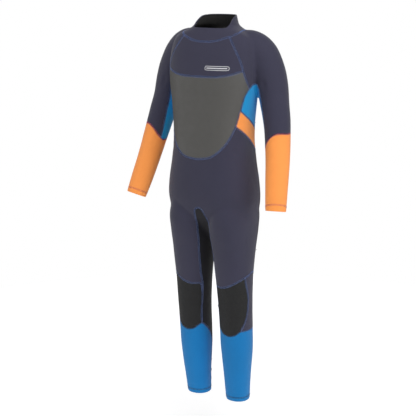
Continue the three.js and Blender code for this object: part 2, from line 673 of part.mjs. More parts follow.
// The pull tab: its eye, how it widens from the eye down to its foot, and the hole near the foot.
const EYE_WALL = 0.8;
const PULL_NECK = 0.2;
const PULL_WIDE = { from: 8, by: 1.4, atFoot: 2, chamfer: 2 };
const PULL_HOLE = { half: 1.6, foot: 3, head: 6.4 };
const eyeInner = BRIDGE.radius + RUNNING_GAP;
const eyeOuter = eyeInner + EYE_WALL;
const eyeHalf = BRIDGE.half - BRIDGE.ear - RUNNING_GAP;
const pullHead = -eyeInner - PULL_NECK;
const wideHalf = eyeHalf + PULL_WIDE.by;
const footHalf = eyeHalf + PULL_WIDE.atFoot;
const pullPlate = new THREE.Shape([
  [-eyeHalf, pullHead],
  [eyeHalf, pullHead],
  [wideHalf, -PULL_WIDE.from],
  [footHalf, PULL_WIDE.chamfer - PULL_LENGTH],
  [eyeHalf, -PULL_LENGTH],
  [-eyeHalf, -PULL_LENGTH],
  [-footHalf, PULL_WIDE.chamfer - PULL_LENGTH],
  [-wideHalf, -PULL_WIDE.from],
].map(([x, z]) => new THREE.Vector2(x, z)));
const plate = new THREE.ExtrudeGeometry(pullPlate, { depth: PULL_THICKNESS, bevelEnabled: false });
plate.translate(0, 0, -PULL_THICKNESS / 2);
plate.rotateX(Math.PI / 2);
plate.translate(0, bridgeY, bridgeZ);
const pullFoot = bridgeZ - PULL_LENGTH;
const holeY = [bridgeY - PULL_THICKNESS, bridgeY + PULL_THICKNESS];
const holeZ = [pullFoot + PULL_HOLE.foot, pullFoot + PULL_HOLE.head];
const pull = solidOf(plate)
  .add(crossBar(eyeOuter, eyeHalf, bridgeY, bridgeZ, 16))
  .subtract(crossBar(eyeInner, eyeHalf + 1, bridgeY, bridgeZ, 16))
  .subtract(block(-PULL_HOLE.half, PULL_HOLE.half, ...holeY, ...holeZ));
addPiece("pull_tab", pull, LINING_BLACK, 0.5, 0, zip);

// Storm flap between the zip and the wearer.
const flapTop = underTape - SLIDER_PLATE - RUNNING_GAP;
const flapEnds = [-TAPE_OVERRUN, ZIP_LENGTH + TAPE_OVERRUN];
const flapSeamX = teethNear + TAPE_WIDTH + 2 * SEAM_GAP;
const flapSeamTop = tapeTop - 2 * SEAM_GAP;
const flap = block(-FLAP_WIDTH / 2, FLAP_WIDTH / 2, flapTop - FLAP_THICKNESS, flapTop, ...flapEnds).add(
  block(flapSeamX, flapSeamX + FLAP_SEAM, flapTop - FLAP_THICKNESS / 2, flapSeamTop, ...flapEnds),
);
addPiece("storm_flap", flap, LINING_BLACK, 0.9, 0, zip);

export default suit;
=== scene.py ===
"""A child's full-length wetsuit: neoprene panels on one smooth body form, flatlock seams sewn in real
thread, a back zip with its slider and pull tab, and a collar that closes with a peel-open tab."""

import math

import bmesh
import bpy
import numpy as np
from mathutils import Matrix, Vector, noise
from mathutils.bvhtree import BVHTree
from mathutils.kdtree import KDTree


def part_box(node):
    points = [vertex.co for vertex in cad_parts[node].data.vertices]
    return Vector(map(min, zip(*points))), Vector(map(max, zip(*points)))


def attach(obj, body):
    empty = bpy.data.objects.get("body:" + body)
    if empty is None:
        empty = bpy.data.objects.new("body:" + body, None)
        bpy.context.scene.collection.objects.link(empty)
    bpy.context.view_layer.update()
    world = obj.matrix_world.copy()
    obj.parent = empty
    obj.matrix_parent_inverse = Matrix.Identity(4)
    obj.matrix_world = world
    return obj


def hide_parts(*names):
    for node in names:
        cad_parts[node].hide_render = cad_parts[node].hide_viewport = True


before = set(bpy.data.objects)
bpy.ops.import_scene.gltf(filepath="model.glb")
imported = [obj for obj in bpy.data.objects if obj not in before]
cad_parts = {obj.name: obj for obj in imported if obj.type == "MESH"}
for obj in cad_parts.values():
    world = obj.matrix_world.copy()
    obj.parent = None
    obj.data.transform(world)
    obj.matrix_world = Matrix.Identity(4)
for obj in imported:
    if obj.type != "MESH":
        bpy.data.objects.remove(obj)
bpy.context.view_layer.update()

MM = 0.001
HANDS = (("left", 1), ("right", -1))

# ---- The body form, drawn in millimetres on the pattern block --------------------------------------
# x is across, y to the back and z up from the ankle hems. The inseam and the sleeves are then graded.
CROTCH = 460
INSEAM = 464
NECK_Y = 16.5
NECK_Z = 1027.5
SLEEVE_GRADE = 395 / 400
SHOULDER = np.array([116, 35, 936])
BACK_LINE = ((570, 95), (1000, 76))


def back_at(z):
    """The straight line of the back behind the zip."""
    (z0, y0), (z1, y1) = BACK_LINE
    return y0 + (z - z0) * (y1 - y0) / (z1 - z0)


# Height, half width and front depth, where the back is straight.
STRAIGHT_BACK = [
    (570, 123, 95),
    (612, 119, 99),
    (660, 111, 98),
    (711, 105, 96),
    (760, 106, 93),
    (818, 113, 88),
    (870, 120, 86),
    (910, 122, 79),
    (940, 120, 71),
    (962, 116, 62),
    (976, 111, 56),
    (988, 102, 50),
    (996, 88, 46),
]
# Height, half width, front and back depth.
TRUNK = [
    (448, 34, 6, 26),
    (456, 60, 18, 48),
    (472, 92, 36, 70),
    (500, 113, 58, 88),
    (535, 120, 82, 95.5),
    *((*row, back_at(row[0])) for row in STRAIGHT_BACK),
    (1004, 69, 42, 76),
    (1012, 56.5, 39, 73),
    (1022, 53, 36, 69.5),
    (1034, 50.5, 34, 66.5),
    (1050, 49, 33, 65),
]
TRUNK_POWER = 2.4
# Height, inner and outer edge, front and back edge of the left leg.
LEG = [
    (0, 29.5, 93.5, -7, 57),
    (72, 26, 99, -19, 55),
    (150, 21, 106, -30, 57),
    (195, 20, 107, -34, 55),
    (268, 18.5, 108.5, -41, 50),
    (320, 15.5, 110, -47, 49),
    (367, 11.5, 112, -54, 51),
    (430, 6.5, 115, -67, 64),
    (475, 2.5, 117, -80, 80),
    (520, 5, 117, -86, 88),
    (590, 18, 102, -72, 76),
]
LEG_POWER = 2.15
# Centre and radius of the left sleeve.
SLEEVE = [
    (58, 22, 966, 36),
    (92, 30, 958, 44),
    (116, 35, 936, 47),
    (138, 34, 898, 44.5),
    (151.5, 32, 861, 41),
    (161.5, 28, 818, 37.5),
    (174, 18, 770, 35),
    (183.5, 5, 723, 33),
    (193, -14, 665, 31),
    (202, -35, 610, 29),
    (212, -59, 552, 26.5),
]
NAPE_SEAM = 996
# The collar's top edge from throat to nape.
RIM = [
    (-33, 1008.5),
    (-26, 1010.3),
    (-18, 1014.5),
    (-8, 1021.1),
    (1, 1027.1),
    (14, 1033.7),
    (28, 1037),
    (45, 1038.2),
    (66, 1038.5),
]
# Where the edge of each cuff faces.
CUFF_FACES = {"left": (0.055, -0.225, -0.973), "right": (0.16, -0.37, -0.915)}
PAST_HEM = 12  # the form runs on this far past each hem, and is then cut

VOXEL = 3.1 * MM
WALL = 3 * MM
SIDES = 96
TRUNK_STEP, LEG_STEP, SLEEVE_RINGS = 4, 5, 110
# Near a join of two tubes the skin is relaxed this often: fully where the second tube is near, and not at
# all where it is far.
JOIN_NEAR, JOIN_FAR, JOIN_ROUNDS = 3 * MM, 9 * MM, 11
EVEN_ROUNDS = 3
SEARCH = 30 * MM


def level(z):
    """A block height with the legs graded to the inseam."""
    return np.where(z < CROTCH, z * INSEAM / CROTCH, INSEAM + z - CROTCH)


def in_frame(points):
    """Block millimetres to metres in the row frame."""
    p = np.array(points, float)
    return np.stack([p[..., 0], p[..., 1] - NECK_Y, level(p[..., 2]) - NECK_Z], axis=-1) * MM


def through(table, at):
    """Values between a table's rows on a smooth curve. The first column is the place."""
    table = np.array(table, float)
    place, values = table[:, 0], table[:, 1:]
    slope = np.diff(values, axis=0) / np.diff(place)[:, None]
    tangent = np.concatenate([slope[:1], (slope[:-1] + slope[1:]) / 2, slope[-1:]])
    i = np.clip(np.searchsorted(place, at, side="right") - 1, 0, len(place) - 2)
    span = (place[i + 1] - place[i])[:, None]
    t = (at - place[i])[:, None] / span
    return (
        (2 * t**3 - 3 * t**2 + 1) * values[i]
        + (t**3 - 2 * t**2 + t) * span * tangent[i]
        + (3 * t**2 - 2 * t**3) * values[i + 1]
        + (t**3 - t**2) * span * tangent[i + 1]
    )


def rounded(turn, power):
    """Places on a rounded square at these turns: the power squares it up."""
    c, s = np.cos(turn), np.sin(turn)
    return np.sign(c) * np.abs(c) ** (2 / power), np.sign(s) * np.abs(s) ** (2 / power)


TURNS = np.arange(SIDES) / SIDES * 2 * math.pi


def trunk_rings():
    heights = np.arange(TRUNK[0][0], TRUNK[-1][0] + 0.1, TRUNK_STEP)
    half, front, back = through(TRUNK, heights).T[:, :, None]
    x, y = rounded(TURNS[None], TRUNK_POWER)
    depth = np.where(y < 0, front, back)
    return in_frame(np.stack([x * half, y * depth, depth * 0 + heights[:, None]], axis=-1))


def leg_rings(side, heights):
    """Rings of points round one leg, on the block."""
    inner, outer, front, back = through(LEG, heights).T[:, :, None]
    x, y = rounded(TURNS[None], LEG_POWER)
    across = side * ((inner + outer) / 2 + x * (outer - inner) / 2)
    depth = (front + back) / 2 + y * (back - front) / 2
    return np.stack([across, depth, across * 0 + heights[:, None]], axis=-1)


def leg(side):
    rings = leg_rings(side, np.arange(LEG[0][0], LEG[-1][0] + 0.1, LEG_STEP))
    return in_frame(np.concatenate([rings[:1] - [0, 0, PAST_HEM], rings]))


def sleeve_line(at):
    """Centres, radii and the two cross directions of the left sleeve, in millimetres."""
    rows = [(i, *row) for i, row in enumerate(SLEEVE)]
    row = through(rows, at)
    centre = SHOULDER + (row[:, :3] - SHOULDER) * SLEEVE_GRADE
    ahead = through(rows, np.minimum(at + 0.05, len(SLEEVE) - 1))[:, :3]
    behind = through(rows, np.maximum(at - 0.05, 0))[:, :3]
    along = ahead - behind
    along /= np.linalg.norm(along, axis=1)[:, None]
    fore = np.array([0, 1, 0]) - along * along[:, 1:2]
    fore /= np.linalg.norm(fore, axis=1)[:, None]
    return centre, row[:, 3], along, np.cross(fore, along), fore


def sleeve_rings(side, at):
    """Rings of points round one sleeve, on the block, and the way its cuff runs."""
    centre, radius, along, wide, fore = sleeve_line(at)
    c, s = np.cos(TURNS)[None, :, None], np.sin(TURNS)[None, :, None]
    rings = centre[:, None] + radius[:, None, None] * (wide[:, None] * c + fore[:, None] * s)
    return rings * [side, 1, 1], along[-1] * [side, 1, 1]


def sleeve(side):
    rings, along = sleeve_rings(side, np.linspace(0, len(SLEEVE) - 1, SLEEVE_RINGS))
    return in_frame(np.concatenate([rings, rings[-1:] + along * PAST_HEM]))


def tube(rings):
    """Points and faces of a closed tube through rings of points."""
    count, sides = rings.shape[:2]
    points = np.concatenate([rings.reshape(-1, 3), rings[0].mean(0)[None], rings[-1].mean(0)[None]])
    faces = []
    for row in range(count - 1):
        for i in range(sides):
            a, b = row * sides + i, row * sides + (i + 1) % sides
            faces.append((a, b, b + sides, a + sides))
    foot, head = count * sides, count * sides + 1
    last = (count - 1) * sides
    for i in range(sides):
        faces.append((foot, (i + 1) % sides, i))
        faces.append((head, last + i, last + (i + 1) % sides))
    return points, faces


def joined(parts):
    """Several sets of points and faces as one."""
    points, faces, start = [], [], 0
    for part_points, part_faces in parts:
        points.append(part_points)
        faces += [tuple(start + i for i in face) for face in part_faces]
        start += len(part_points)
    return np.concatenate(points), faces


def mesh_object(name, points, faces):
    mesh = bpy.data.meshes.new(name)
    mesh.from_pydata([tuple(p) for p in points], [], faces)
    mesh.validate()
    made = bpy.data.objects.new(name, mesh)
    bpy.context.scene.collection.objects.link(made)
    return made


def alone(obj):
    """Makes one object the only selected and the active one."""
    bpy.ops.object.select_all(action="DESELECT")
    obj.select_set(True)
    bpy.context.view_layer.objects.active = obj


def declared(piece, body, slot, node_name):
    """Hangs a piece on the body it rides and hides the CAD node in whose place it stands. The slot is not
    used.
    """
    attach(piece, body)
    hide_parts(node_name)


def applied(obj, kind, **settings):
    """Gives an object a modifier and applies it."""
    alone(obj)
    step = obj.modifiers.new("step", kind)
    for key, value in settings.items():
        setattr(step, key, value)
    bpy.ops.object.modifier_apply(modifier="step")


def arrays(mesh):
    """A mesh's points and triangles as arrays."""
    mesh.calc_loop_triangles()
    points = np.empty(len(mesh.vertices) * 3, np.float32)
    mesh.vertices.foreach_get("co", points)
    triangles = np.empty(len(mesh.loop_triangles) * 3, np.int32)
    mesh.loop_triangles.foreach_get("vertices", triangles)
    return points.reshape(-1, 3).astype(float), triangles.reshape(-1, 3)


def smoothstep(value, low, high):
    t = np.clip((value - low) / (high - low), 0, 1)
    return t * t * (3 - 2 * t)


def relaxed(points, edges, weight, rounds):
    """Points drawn towards their neighbours, each by its own weight."""
    points = points.copy()
    count = np.zeros(len(points))
    np.add.at(count, edges.ravel(), 1)
    for _ in range(rounds):
        total = np.zeros_like(points)
        np.add.at(total, edges[:, 0], points[edges[:, 1]])
        np.add.at(total, edges[:, 1], points[edges[:, 0]])
        points += weight[:, None] * (total / np.maximum(count, 1)[:, None] - points)
    return points


def vertex_normals(points, triangles):
    a, b, c = (points[triangles[:, i]] for i in range(3))
    face = np.cross(b - a, c - a)
    out = np.zeros_like(points)
    for i in range(3):
        np.add.at(out, triangles[:, i], face)
    return out / np.maximum(np.linalg.norm(out, axis=1), 1e-12)[:, None]


# Soft folds where the suit bends: centre and direction on the block, half length, width and depth.
FOLDS = [
    ((147, -8, 868), (0.3, -0.35, -1), 26, 5, 1.6),
    ((133, -16, 882), (0.5, -0.2, -1), 22, 4, 1.0),
    ((178, -22, 716), (1, 0.15, 0.25), 22, 4, 0.8),
    ((184, -30, 694), (1, 0.1, -0.3), 20, 4, 0.7),
    ((185, 34, 705), (1, -0.1, 0.2), 20, 5, 0.7),
    ((48, -88, 540), (1, 0.1, 0.75), 30, 6, 0.9),
    ((60, -84, 512), (1, 0.1, 0.35), 26, 6, 0.7),
    ((62, 50, 296), (1, 0, 0.12), 34, 5, 1.2),
    ((62, 50, 272), (1, 0, -0.15), 30, 5, 1.0),
    ((60, -13, 24), (1, 0, 0.1), 26, 4, 0.6),
    ((58, 50, 28), (1, 0, -0.12), 26, 4, 0.8),
    ((84, -60, 700), (1, 0.3, -0.5), 24, 5, 0.6),
]
# The bank beside a fold: its share of the fold's depth, and its place and width by the fold's width.
BANK_SHARE, BANK_AT, BANK_WIDE = 0.45, 2.1, 1.2
# Scale and height in millimetres of each wave of the soft cloth's unevenness.
UNEVEN = ((13, 0.8), (31, 0.25))


def folded(points, normals):
    """The form with its folds pressed in and a gentle unevenness of soft cloth."""
    lift = np.zeros(len(points))
    for centre, way, half, width, depth in FOLDS:
        for side in (1, -1):
            at = in_frame(np.array(centre) * [side, 1, 1])
            along = np.array(way, float) * [side, 1, 1]
            along /= np.linalg.norm(along)
            off = points - at
            run = off @ along
            away = np.linalg.norm(off - run[:, None] * along, axis=1) / (width * MM)
            fade = np.exp(-((run / (half * MM)) ** 2))
            bank = BANK_SHARE * np.exp(-(((away - BANK_AT) / BANK_WIDE) ** 2))
            lift += depth * MM * fade * (bank - np.exp(-(away**2)))
    soft = [sum(noise.noise(Vector(p) * scale) * high for scale, high in UNEVEN) for p in points]
    lift += np.array(soft) * MM
    return points + normals * lift[:, None]


def body_form():
    """The trunk, legs and sleeves grown into one skin with rounded joins."""
    lofts = [trunk_rings()] + [leg(side) for _, side in HANDS] + [sleeve(side) for _, side in HANDS]
    tubes = [tube(rings) for rings in lofts]
    trees = [BVHTree.FromPolygons([tuple(p) for p in points], faces) for points, faces in tubes]
    whole = mesh_object("body_form", *joined(tubes))
    alone(whole)
    bpy.ops.object.mode_set(mode="EDIT")
    bpy.ops.mesh.select_all(action="SELECT")
    bpy.ops.mesh.normals_make_consistent(inside=False)
    bpy.ops.object.mode_set(mode="OBJECT")
    whole.data.remesh_voxel_size = VOXEL
    bpy.ops.object.voxel_remesh()
    points, triangles = arrays(whole.data)
    edges = np.empty(len(whole.data.edges) * 2, np.int32)
    whole.data.edges.foreach_get("vertices", edges)
    edges = edges.reshape(-1, 2)
    bpy.data.objects.remove(whole)
    second = np.empty(len(points))
    for i, p in enumerate(points):
        hits = [tree.find_nearest(p, SEARCH)[3] for tree in trees]
        near = sorted(distance for distance in hits if distance is not None)
        second[i] = near[1] if len(near) > 1 else 1
    weight = 0.5 * (1 - smoothstep(second, JOIN_NEAR, JOIN_FAR))
    points = relaxed(points, edges, weight, JOIN_ROUNDS)
    points = relaxed(points, edges, np.full(len(points), 0.5), EVEN_ROUNDS)
    return folded(points, vertex_normals(points, triangles)), triangles


# ---- Panels ----------------------------------------------------------------------------------------
PANELS = ["collar", "chest_yoke", "chest_panel", "front_body", "seat_panel", "inner_leg_panel"]
for paired in "sleeve forearm side_panel waist_insert upper_back knee_pad calf lower_leg".split():
    PANELS += [f"{paired}_{hand}" for hand, _ in HANDS]
ON_LINE = 0.01 * MM
PANEL_REACH = 14 * MM  # no point of the skin is further than this from its own panel
SEAM_CLEAR = 0.02  # share of an edge that a seam keeps off the edge's ends


def node_tree(name):
    points, triangles = arrays(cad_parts[name].data)
    return BVHTree.FromPolygons([tuple(p) for p in points], triangles.tolist())


def panel_distances(points):
    """How far each point is from each CAD panel, and a large number where it is nowhere near."""
    away = np.full((len(points), len(PANELS)), 1.0)
    for k, name in enumerate(PANELS):
        low, high = (np.array(c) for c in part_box(name))
        near = np.nonzero(((points > low - PANEL_REACH) & (points < high + PANEL_REACH)).all(1))[0]
        tree = node_tree(name)
        for i in near:
            away[i, k] = tree.find_nearest(points[i])[3]
    return away


def split_at_seams(points, triangles, away):
    """Cuts the triangles where the nearest panel changes. Gives the points, faces and labels."""
    label = away.argmin(1)
    points = list(points)
    crossings = {}

    def crossing(i, j):
        key = (min(i, j), max(i, j))
        if key not in crossings:
            i, j = key
            a, b = label[i], label[j]
            at_i, at_j = away[i, a] - away[i, b], away[j, a] - away[j, b]
            t = at_i / (at_i - at_j) if at_i != at_j else 0.5
            crossings[key] = len(points)
            points.append(points[i] + min(max(t, SEAM_CLEAR), 1 - SEAM_CLEAR) * (points[j] - points[i]))
        return crossings[key]

    faces, labels = [], []

    def add(owner, *corners):
        faces.append(corners)
        labels.append(int(label[owner]))

    for a, b, c in triangles.tolist():
        la, lb, lc = label[a], label[b], label[c]
        if la == lb == lc:
            add(a, a, b, c)
        elif la != lb and lb != lc and la != lc:
            ab, bc, ca = crossing(a, b), crossing(b, c), crossing(c, a)
            middle = len(points)
            points.append((points[ab] + points[bc] + points[ca]) / 3)
            add(a, a, ab, middle, ca)
            add(b, b, bc, middle, ab)
            add(c, c, ca, middle, bc)
        else:
            while label[b] != label[c]:
                a, b, c = b, c, a
            ab, ca = crossing(a, b), crossing(c, a)
            add(a, a, ab, ca)
            add(b, ab, b, c, ca)
    return points, faces, labels


def cut_plane(bm, faces, point, normal, drop=False):
    """Cuts these faces with a plane, and drops what lies past it when asked."""
    corners = [corner for face in faces for corner in (*face.edges, *face.verts)]
    geometry = list(dict.fromkeys([*faces, *corners]))
    bmesh.ops.bisect_plane(bm, geom=geometry, plane_co=point, plane_no=normal, clear_outer=drop, dist=ON_LINE)


def middle_of(face):
    return face.calc_center_median()


TEETH_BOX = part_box("zip_teeth_left")
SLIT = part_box("upper_back_left")[0].x
SLIT_FOOT = TEETH_BOX[0].z - 12 * MM
NAPE = float(in_frame((0, 0, NAPE_SEAM))[2])
HEM = float(in_frame((0, 0, 0))[2])
# How far from each opening its faces are looked for.
HEM_REACH, CUFF_REACH, SLIT_REACH, RIM_REACH, NAPE_REACH = 20 * MM, 60 * MM, 12 * MM, 75 * MM, 10 * MM
BACK_SIDE = 30 * MM  # what lies this far back is the back


def is_by_slit(p, reach):
    """Whether a point of the back is this near the slit's centre line."""
    return p.y > BACK_SIDE and abs(p.x) < reach and SLIT_FOOT - NAPE_REACH < p.z < NAPE + NAPE_REACH


def rim_height(y):
    """Height of the collar's top edge at a depth, in metres."""
    at = np.array([np.clip(y / MM + NECK_Y, RIM[0][0], RIM[-1][0])])
    return float(in_frame((0, 0, through(RIM, at)[0, 0]))[2])


def trim_collar(bm):
    """Cuts the collar along its top edge: the faces it crosses are cut, and what is above is dropped."""
    above = {v: v.co.z - rim_height(v.co.y) for v in bm.verts if v.co.z > NAPE and abs(v.co.x) < RIM_REACH}
    crossed = [e for v in above for e in v.link_edges if all(w in above for w in e.verts)]
    for edge in dict.fromkeys(crossed):
        a, b = (above[v] for v in edge.verts)
        if a * b < 0:
            fresh = bmesh.utils.edge_split(edge, edge.verts[0], a / (a - b))[1]
            above[fresh] = 0.0
    touched = [f for v, h in above.items() if h == 0.0 for f in v.link_faces]
    for face in dict.fromkeys(touched):
        ends = [v for v in face.verts if above.get(v) == 0.0]
        if len(ends) == 2 and not any(ends[1] in e.verts for e in ends[0].link_edges if e in face.edges[:]):
            bmesh.utils.face_split(face, ends[0], ends[1])
    gone = [f for f in bm.faces if any(above.get(v, -1) > 0 for v in f.verts)]
    bmesh.ops.delete(bm, geom=gone, context="FACES")


def open_ends(bm):
    """Cuts the neck, the cuffs, the ankles and the zip's slit."""
    trim_collar(bm)
    ankles = [f for f in bm.faces if middle_of(f).z < HEM + HEM_REACH]
    cut_plane(bm, ankles, (0, 0, HEM), (0, 0, -1), drop=True)
    centre = sleeve_line(np.array([len(SLEEVE) - 1.0]))[0]
    for hand, side in HANDS:
        turn = np.array([side, 1, 1])
        cuff, way = Vector(in_frame(centre[0] * turn)), Vector(CUFF_FACES[hand] * turn)
        near = [f for f in bm.faces if (middle_of(f) - cuff).length < CUFF_REACH]
        cut_plane(bm, near, cuff, way, drop=True)
    for x in (-SLIT, SLIT):
        strip = [f for f in bm.faces if is_by_slit(middle_of(f), SLIT_REACH)]
        cut_plane(bm, strip, (x, 0, 0), (1, 0, 0))
    for z in (SLIT_FOOT, NAPE):
        strip = [f for f in bm.faces if is_by_slit(middle_of(f), SLIT)]
        cut_plane(bm, strip, (0, 0, z), (0, 0, 1))
    gone = [f for f in bm.faces if is_by_slit(middle_of(f), SLIT) and SLIT_FOOT < middle_of(f).z < NAPE]
    bmesh.ops.delete(bm, geom=gone, context="FACES")
    collar = [f for f in bm.faces if middle_of(f).z > NAPE and middle_of(f).y > 0]
    cut_plane(bm, [f for f in collar if abs(middle_of(f).x) < NAPE_REACH], (0, 0, 0), (1, 0, 0))


def seam_chains(bm, layer):
    """Runs of points along each seam, with the two panels that meet there."""
    links = {}
    for edge in bm.edges:
        pair = frozenset(f[layer] for f in edge.link_faces)
        if len(pair) == 2:
            for v in edge.verts:
                links.setdefault(v, []).append((edge, pair))
    used, chains = set(), []

    def walk(start, edge, pair):
        run, here = [start], start
        while edge is not None:
            used.add(edge)
            here = edge.other_vert(here)
            run.append(here)
            ways = [e for e, p in links[here] if e not in used and p == pair]
            edge = ways[0] if len(links[here]) == 2 and ways else None
        chains.append((pair, run))

    ends = [v for v, ways in links.items() if len(ways) != 2]
    for v in ends + list(links):
        for edge, pair in links[v]:
            if edge not in used:
                walk(v, edge, pair)
    return chains


SEAM_ROUNDS = 8


def smoothed_run(run):
    """Evens out a seam, with its ends kept."""
    line = np.array([v.co for v in run])
    closed = run[0] is run[-1]
    for _ in range(SEAM_ROUNDS):
        inner = (line[:-2] + line[2:]) / 4 + line[1:-1] / 2
        if closed:
            line[0] = line[-1] = (line[1] + line[-2]) / 4 + line[0] / 2
        line[1:-1] = inner
    return line


def tree_of(points):
    tree = KDTree(len(points))
    for i, p in enumerate(points):
        tree.insert(p, i)
    tree.balance()
    return tree


# Depth and width of the dip at a seam and of the rolled edge at a hem.
SEAM_DIP, DIP_WIDE = 0.55 * MM, 1.9 * MM
HEM_ROLL, ROLL_WIDE = 1.0 * MM, 1.6 * MM
WELD, SLIVER = 0.7 * MM, 0.1 * MM
SPECK = 60  # a patch of fewer faces than this isn't a panel


def absorb_islands(bm, layer):
    """Gives a stray speck of one panel inside another to the panel round it."""
    seen = set()
    for first in bm.faces:
        if first in seen:
            continue
        island, queue = [first], [first]
        seen.add(first)
        around = {}
        while queue:
            for edge in queue.pop().edges:
                for face in edge.link_faces:
                    if face[layer] != first[layer]:
                        around[face[layer]] = around.get(face[layer], 0) + 1
                    elif face not in seen:
                        seen.add(face)
                        island.append(face)
                        queue.append(face)
        if len(island) < SPECK and around:
            for face in island:
                face[layer] = max(around, key=around.get)


def sewn_body():
    """The panel faces with their seams, the distance of each point from a seam, and the seam lines."""
    form, triangles = body_form()
    cut = bmesh.new()
    for p in form:
        cut.verts.new(p)
    cut.verts.ensure_lookup_table()
    for t in triangles.tolist():
        cut.faces.new([cut.verts[i] for i in t])
    open_ends(cut)
    bmesh.ops.triangulate(cut, faces=cut.faces[:])
    scratch = bpy.data.meshes.new("cut_form")
    cut.to_mesh(scratch)
    cut.free()
    points, triangles = arrays(scratch)
    bpy.data.meshes.remove(scratch)
    points, faces, labels = split_at_seams(points, triangles, panel_distances(points))

    bm = bmesh.new()
    layer = bm.faces.layers.int.new("panel")
    for p in points:
        bm.verts.new(p)
    bm.verts.ensure_lookup_table()
    for face, owner in zip(faces, labels):
        bm.faces.new([bm.verts[i] for i in face])[layer] = owner
    bmesh.ops.remove_doubles(bm, verts=bm.verts[:], dist=WELD)
    bmesh.ops.dissolve_degenerate(bm, edges=bm.edges[:], dist=SLIVER)
    bmesh.ops.triangulate(bm, faces=bm.faces[:])
    loose = [v for v in bm.verts if not v.link_faces]
    bmesh.ops.delete(bm, geom=loose, context="VERTS")
    absorb_islands(bm, layer)
    chains = [(pair, run) for pair, run in seam_chains(bm, layer) if len(run) > 3]
    for _, run in chains:
        for v, p in zip(run, smoothed_run(run)):
            v.co = p
    bm.normal_update()
    return bm, layer, chains


def pressed(bm, chains):
    """Sinks the skin a little along each seam and rolls it in at each hem. Gives the seam distances."""
    seam_points = [v.co.copy() for _, run in chains for v in run]
    hem_points = [v.co.copy() for e in bm.edges if e.is_boundary for v in e.verts]
    seams, hems = tree_of(seam_points), tree_of(hem_points)
    distance = {}
    moves = []
    for v in bm.verts:
        from_seam = seams.find(v.co)[2]
        from_hem = hems.find(v.co)[2]
        distance[v] = from_seam
        dip = SEAM_DIP * math.exp(-((from_seam / DIP_WIDE) ** 2))
        roll = HEM_ROLL * math.exp(-((from_hem / ROLL_WIDE) ** 2))
        moves.append((v, v.normal * -max(dip, roll)))
    for v, move in moves:
        v.co += move
    return distance


# ---- Shader groups and materials -------------------------------------------------------------------
def node(tree, kind, inputs=(), **settings):
    made = tree.nodes.new(kind)
    for key, value in settings.items():
        setattr(made, key, value)
    for key, value in dict(inputs).items():
        socket = made.inputs[key]
        if isinstance(value, bpy.types.NodeSocket):
            tree.links.new(value, socket)
        else:
            socket.default_value = value
    return made


def calc(tree, operation, a, b=0.5):
    return node(tree, "ShaderNodeMath", {0: a, 1: b}, operation=operation).outputs[0]


def ramp(tree, value, low, high, start, end):
    """Maps low to high smoothly onto start to end."""
    inputs = {"Value": value, "From Min": low, "From Max": high, "To Min": start, "To Max": end}
    return node(tree, "ShaderNodeMapRange", inputs, interpolation_type="SMOOTHSTEP").outputs[0]


def grain(tree, place, scale, detail=3.0):
    inputs = {"Vector": place, "Scale": scale, "Detail": detail, "Roughness": 0.55}
    return node(tree, "ShaderNodeTexNoise", inputs).outputs["Fac"]


def new_group(name, inputs, outputs):
    """An empty shared group: its tree, and its sockets from inside."""
    tree = bpy.data.node_groups.new(name, "ShaderNodeTree")
    for label, kind in inputs:
        tree.interface.new_socket(label, in_out="INPUT", socket_type=kind)
    for label, kind in outputs:
        tree.interface.new_socket(label, in_out="OUTPUT", socket_type=kind)
    return tree, tree.nodes.new("NodeGroupInput").outputs, tree.nodes.new("NodeGroupOutput").inputs


FLOAT, VECTOR = "NodeSocketFloat", "NodeSocketVector"


def knit_group():
    """Stocking stitch: columns of small loops that run down the cloth."""
    inputs = [("Place", VECTOR), ("Facing", VECTOR), ("Wale", FLOAT), ("Course", FLOAT)]
    tree, given, out = new_group("jersey_knit", inputs, [("Height", FLOAT), ("Shade", FLOAT)])
    place = node(tree, "ShaderNodeSeparateXYZ", {0: given["Place"]}).outputs
    facing = node(tree, "ShaderNodeSeparateXYZ", {0: given["Facing"]}).outputs
    across, out_of = (calc(tree, "ABSOLUTE", facing[axis]) for axis in "XY")
    sideways = calc(tree, "GREATER_THAN", across, out_of)
    mixed = node(tree, "ShaderNodeMix", {"Factor": sideways, "A": place["X"], "B": place["Y"]})
    column = calc(tree, "DIVIDE", mixed.outputs["Result"], given["Wale"])
    off = calc(tree, "ABSOLUTE", calc(tree, "SUBTRACT", calc(tree, "FRACT", column), 0.5))
    down = calc(tree, "DIVIDE", place["Z"], given["Course"])
    row = calc(tree, "ADD", down, calc(tree, "MULTIPLY", off, 1.5))
    loop = calc(tree, "ABSOLUTE", calc(tree, "SUBTRACT", calc(tree, "FRACT", row), 0.5))
    ridge = calc(tree, "SUBTRACT", 1.0, calc(tree, "POWER", calc(tree, "MULTIPLY", off, 2.0), 3.0))
    height = calc(tree, "MULTIPLY", calc(tree, "MULTIPLY", loop, 2.0), ridge)
    tree.links.new(height, out["Height"])
    # painted shade: the low parts of the loops are darker
    tree.links.new(calc(tree, "ADD", calc(tree, "MULTIPLY", height, 0.16), 0.92), out["Shade"])
    return tree


def sewn_group():
    """What sewing does to the foam beside a seam: small puckers, and a valley at the seam whose colour is
    darkened as painted shade.
    """
    inputs = [("Place", VECTOR), ("Seam", FLOAT)]
    tree, given, out = new_group("sewn_edge", inputs, [("Pucker", FLOAT), ("Shade", FLOAT)])
    near = ramp(tree, given["Seam"], 0.0, 11 * MM, 1.0, 0.0)
    valley = ramp(tree, given["Seam"], 0.3 * MM, 3.4 * MM, 1.0, 0.0)
    wave = calc(tree, "MULTIPLY", grain(tree, given["Place"], 150.0, 2.0), near)
    tree.links.new(calc(tree, "SUBTRACT", wave, calc(tree, "MULTIPLY", valley, 0.9)), out["Pucker"])
    # painted shade: the colour is darkened in the seam's valley
    tree.links.new(calc(tree, "SUBTRACT", 1.0, calc(tree, "MULTIPLY", valley, 0.3)), out["Shade"])
    return tree


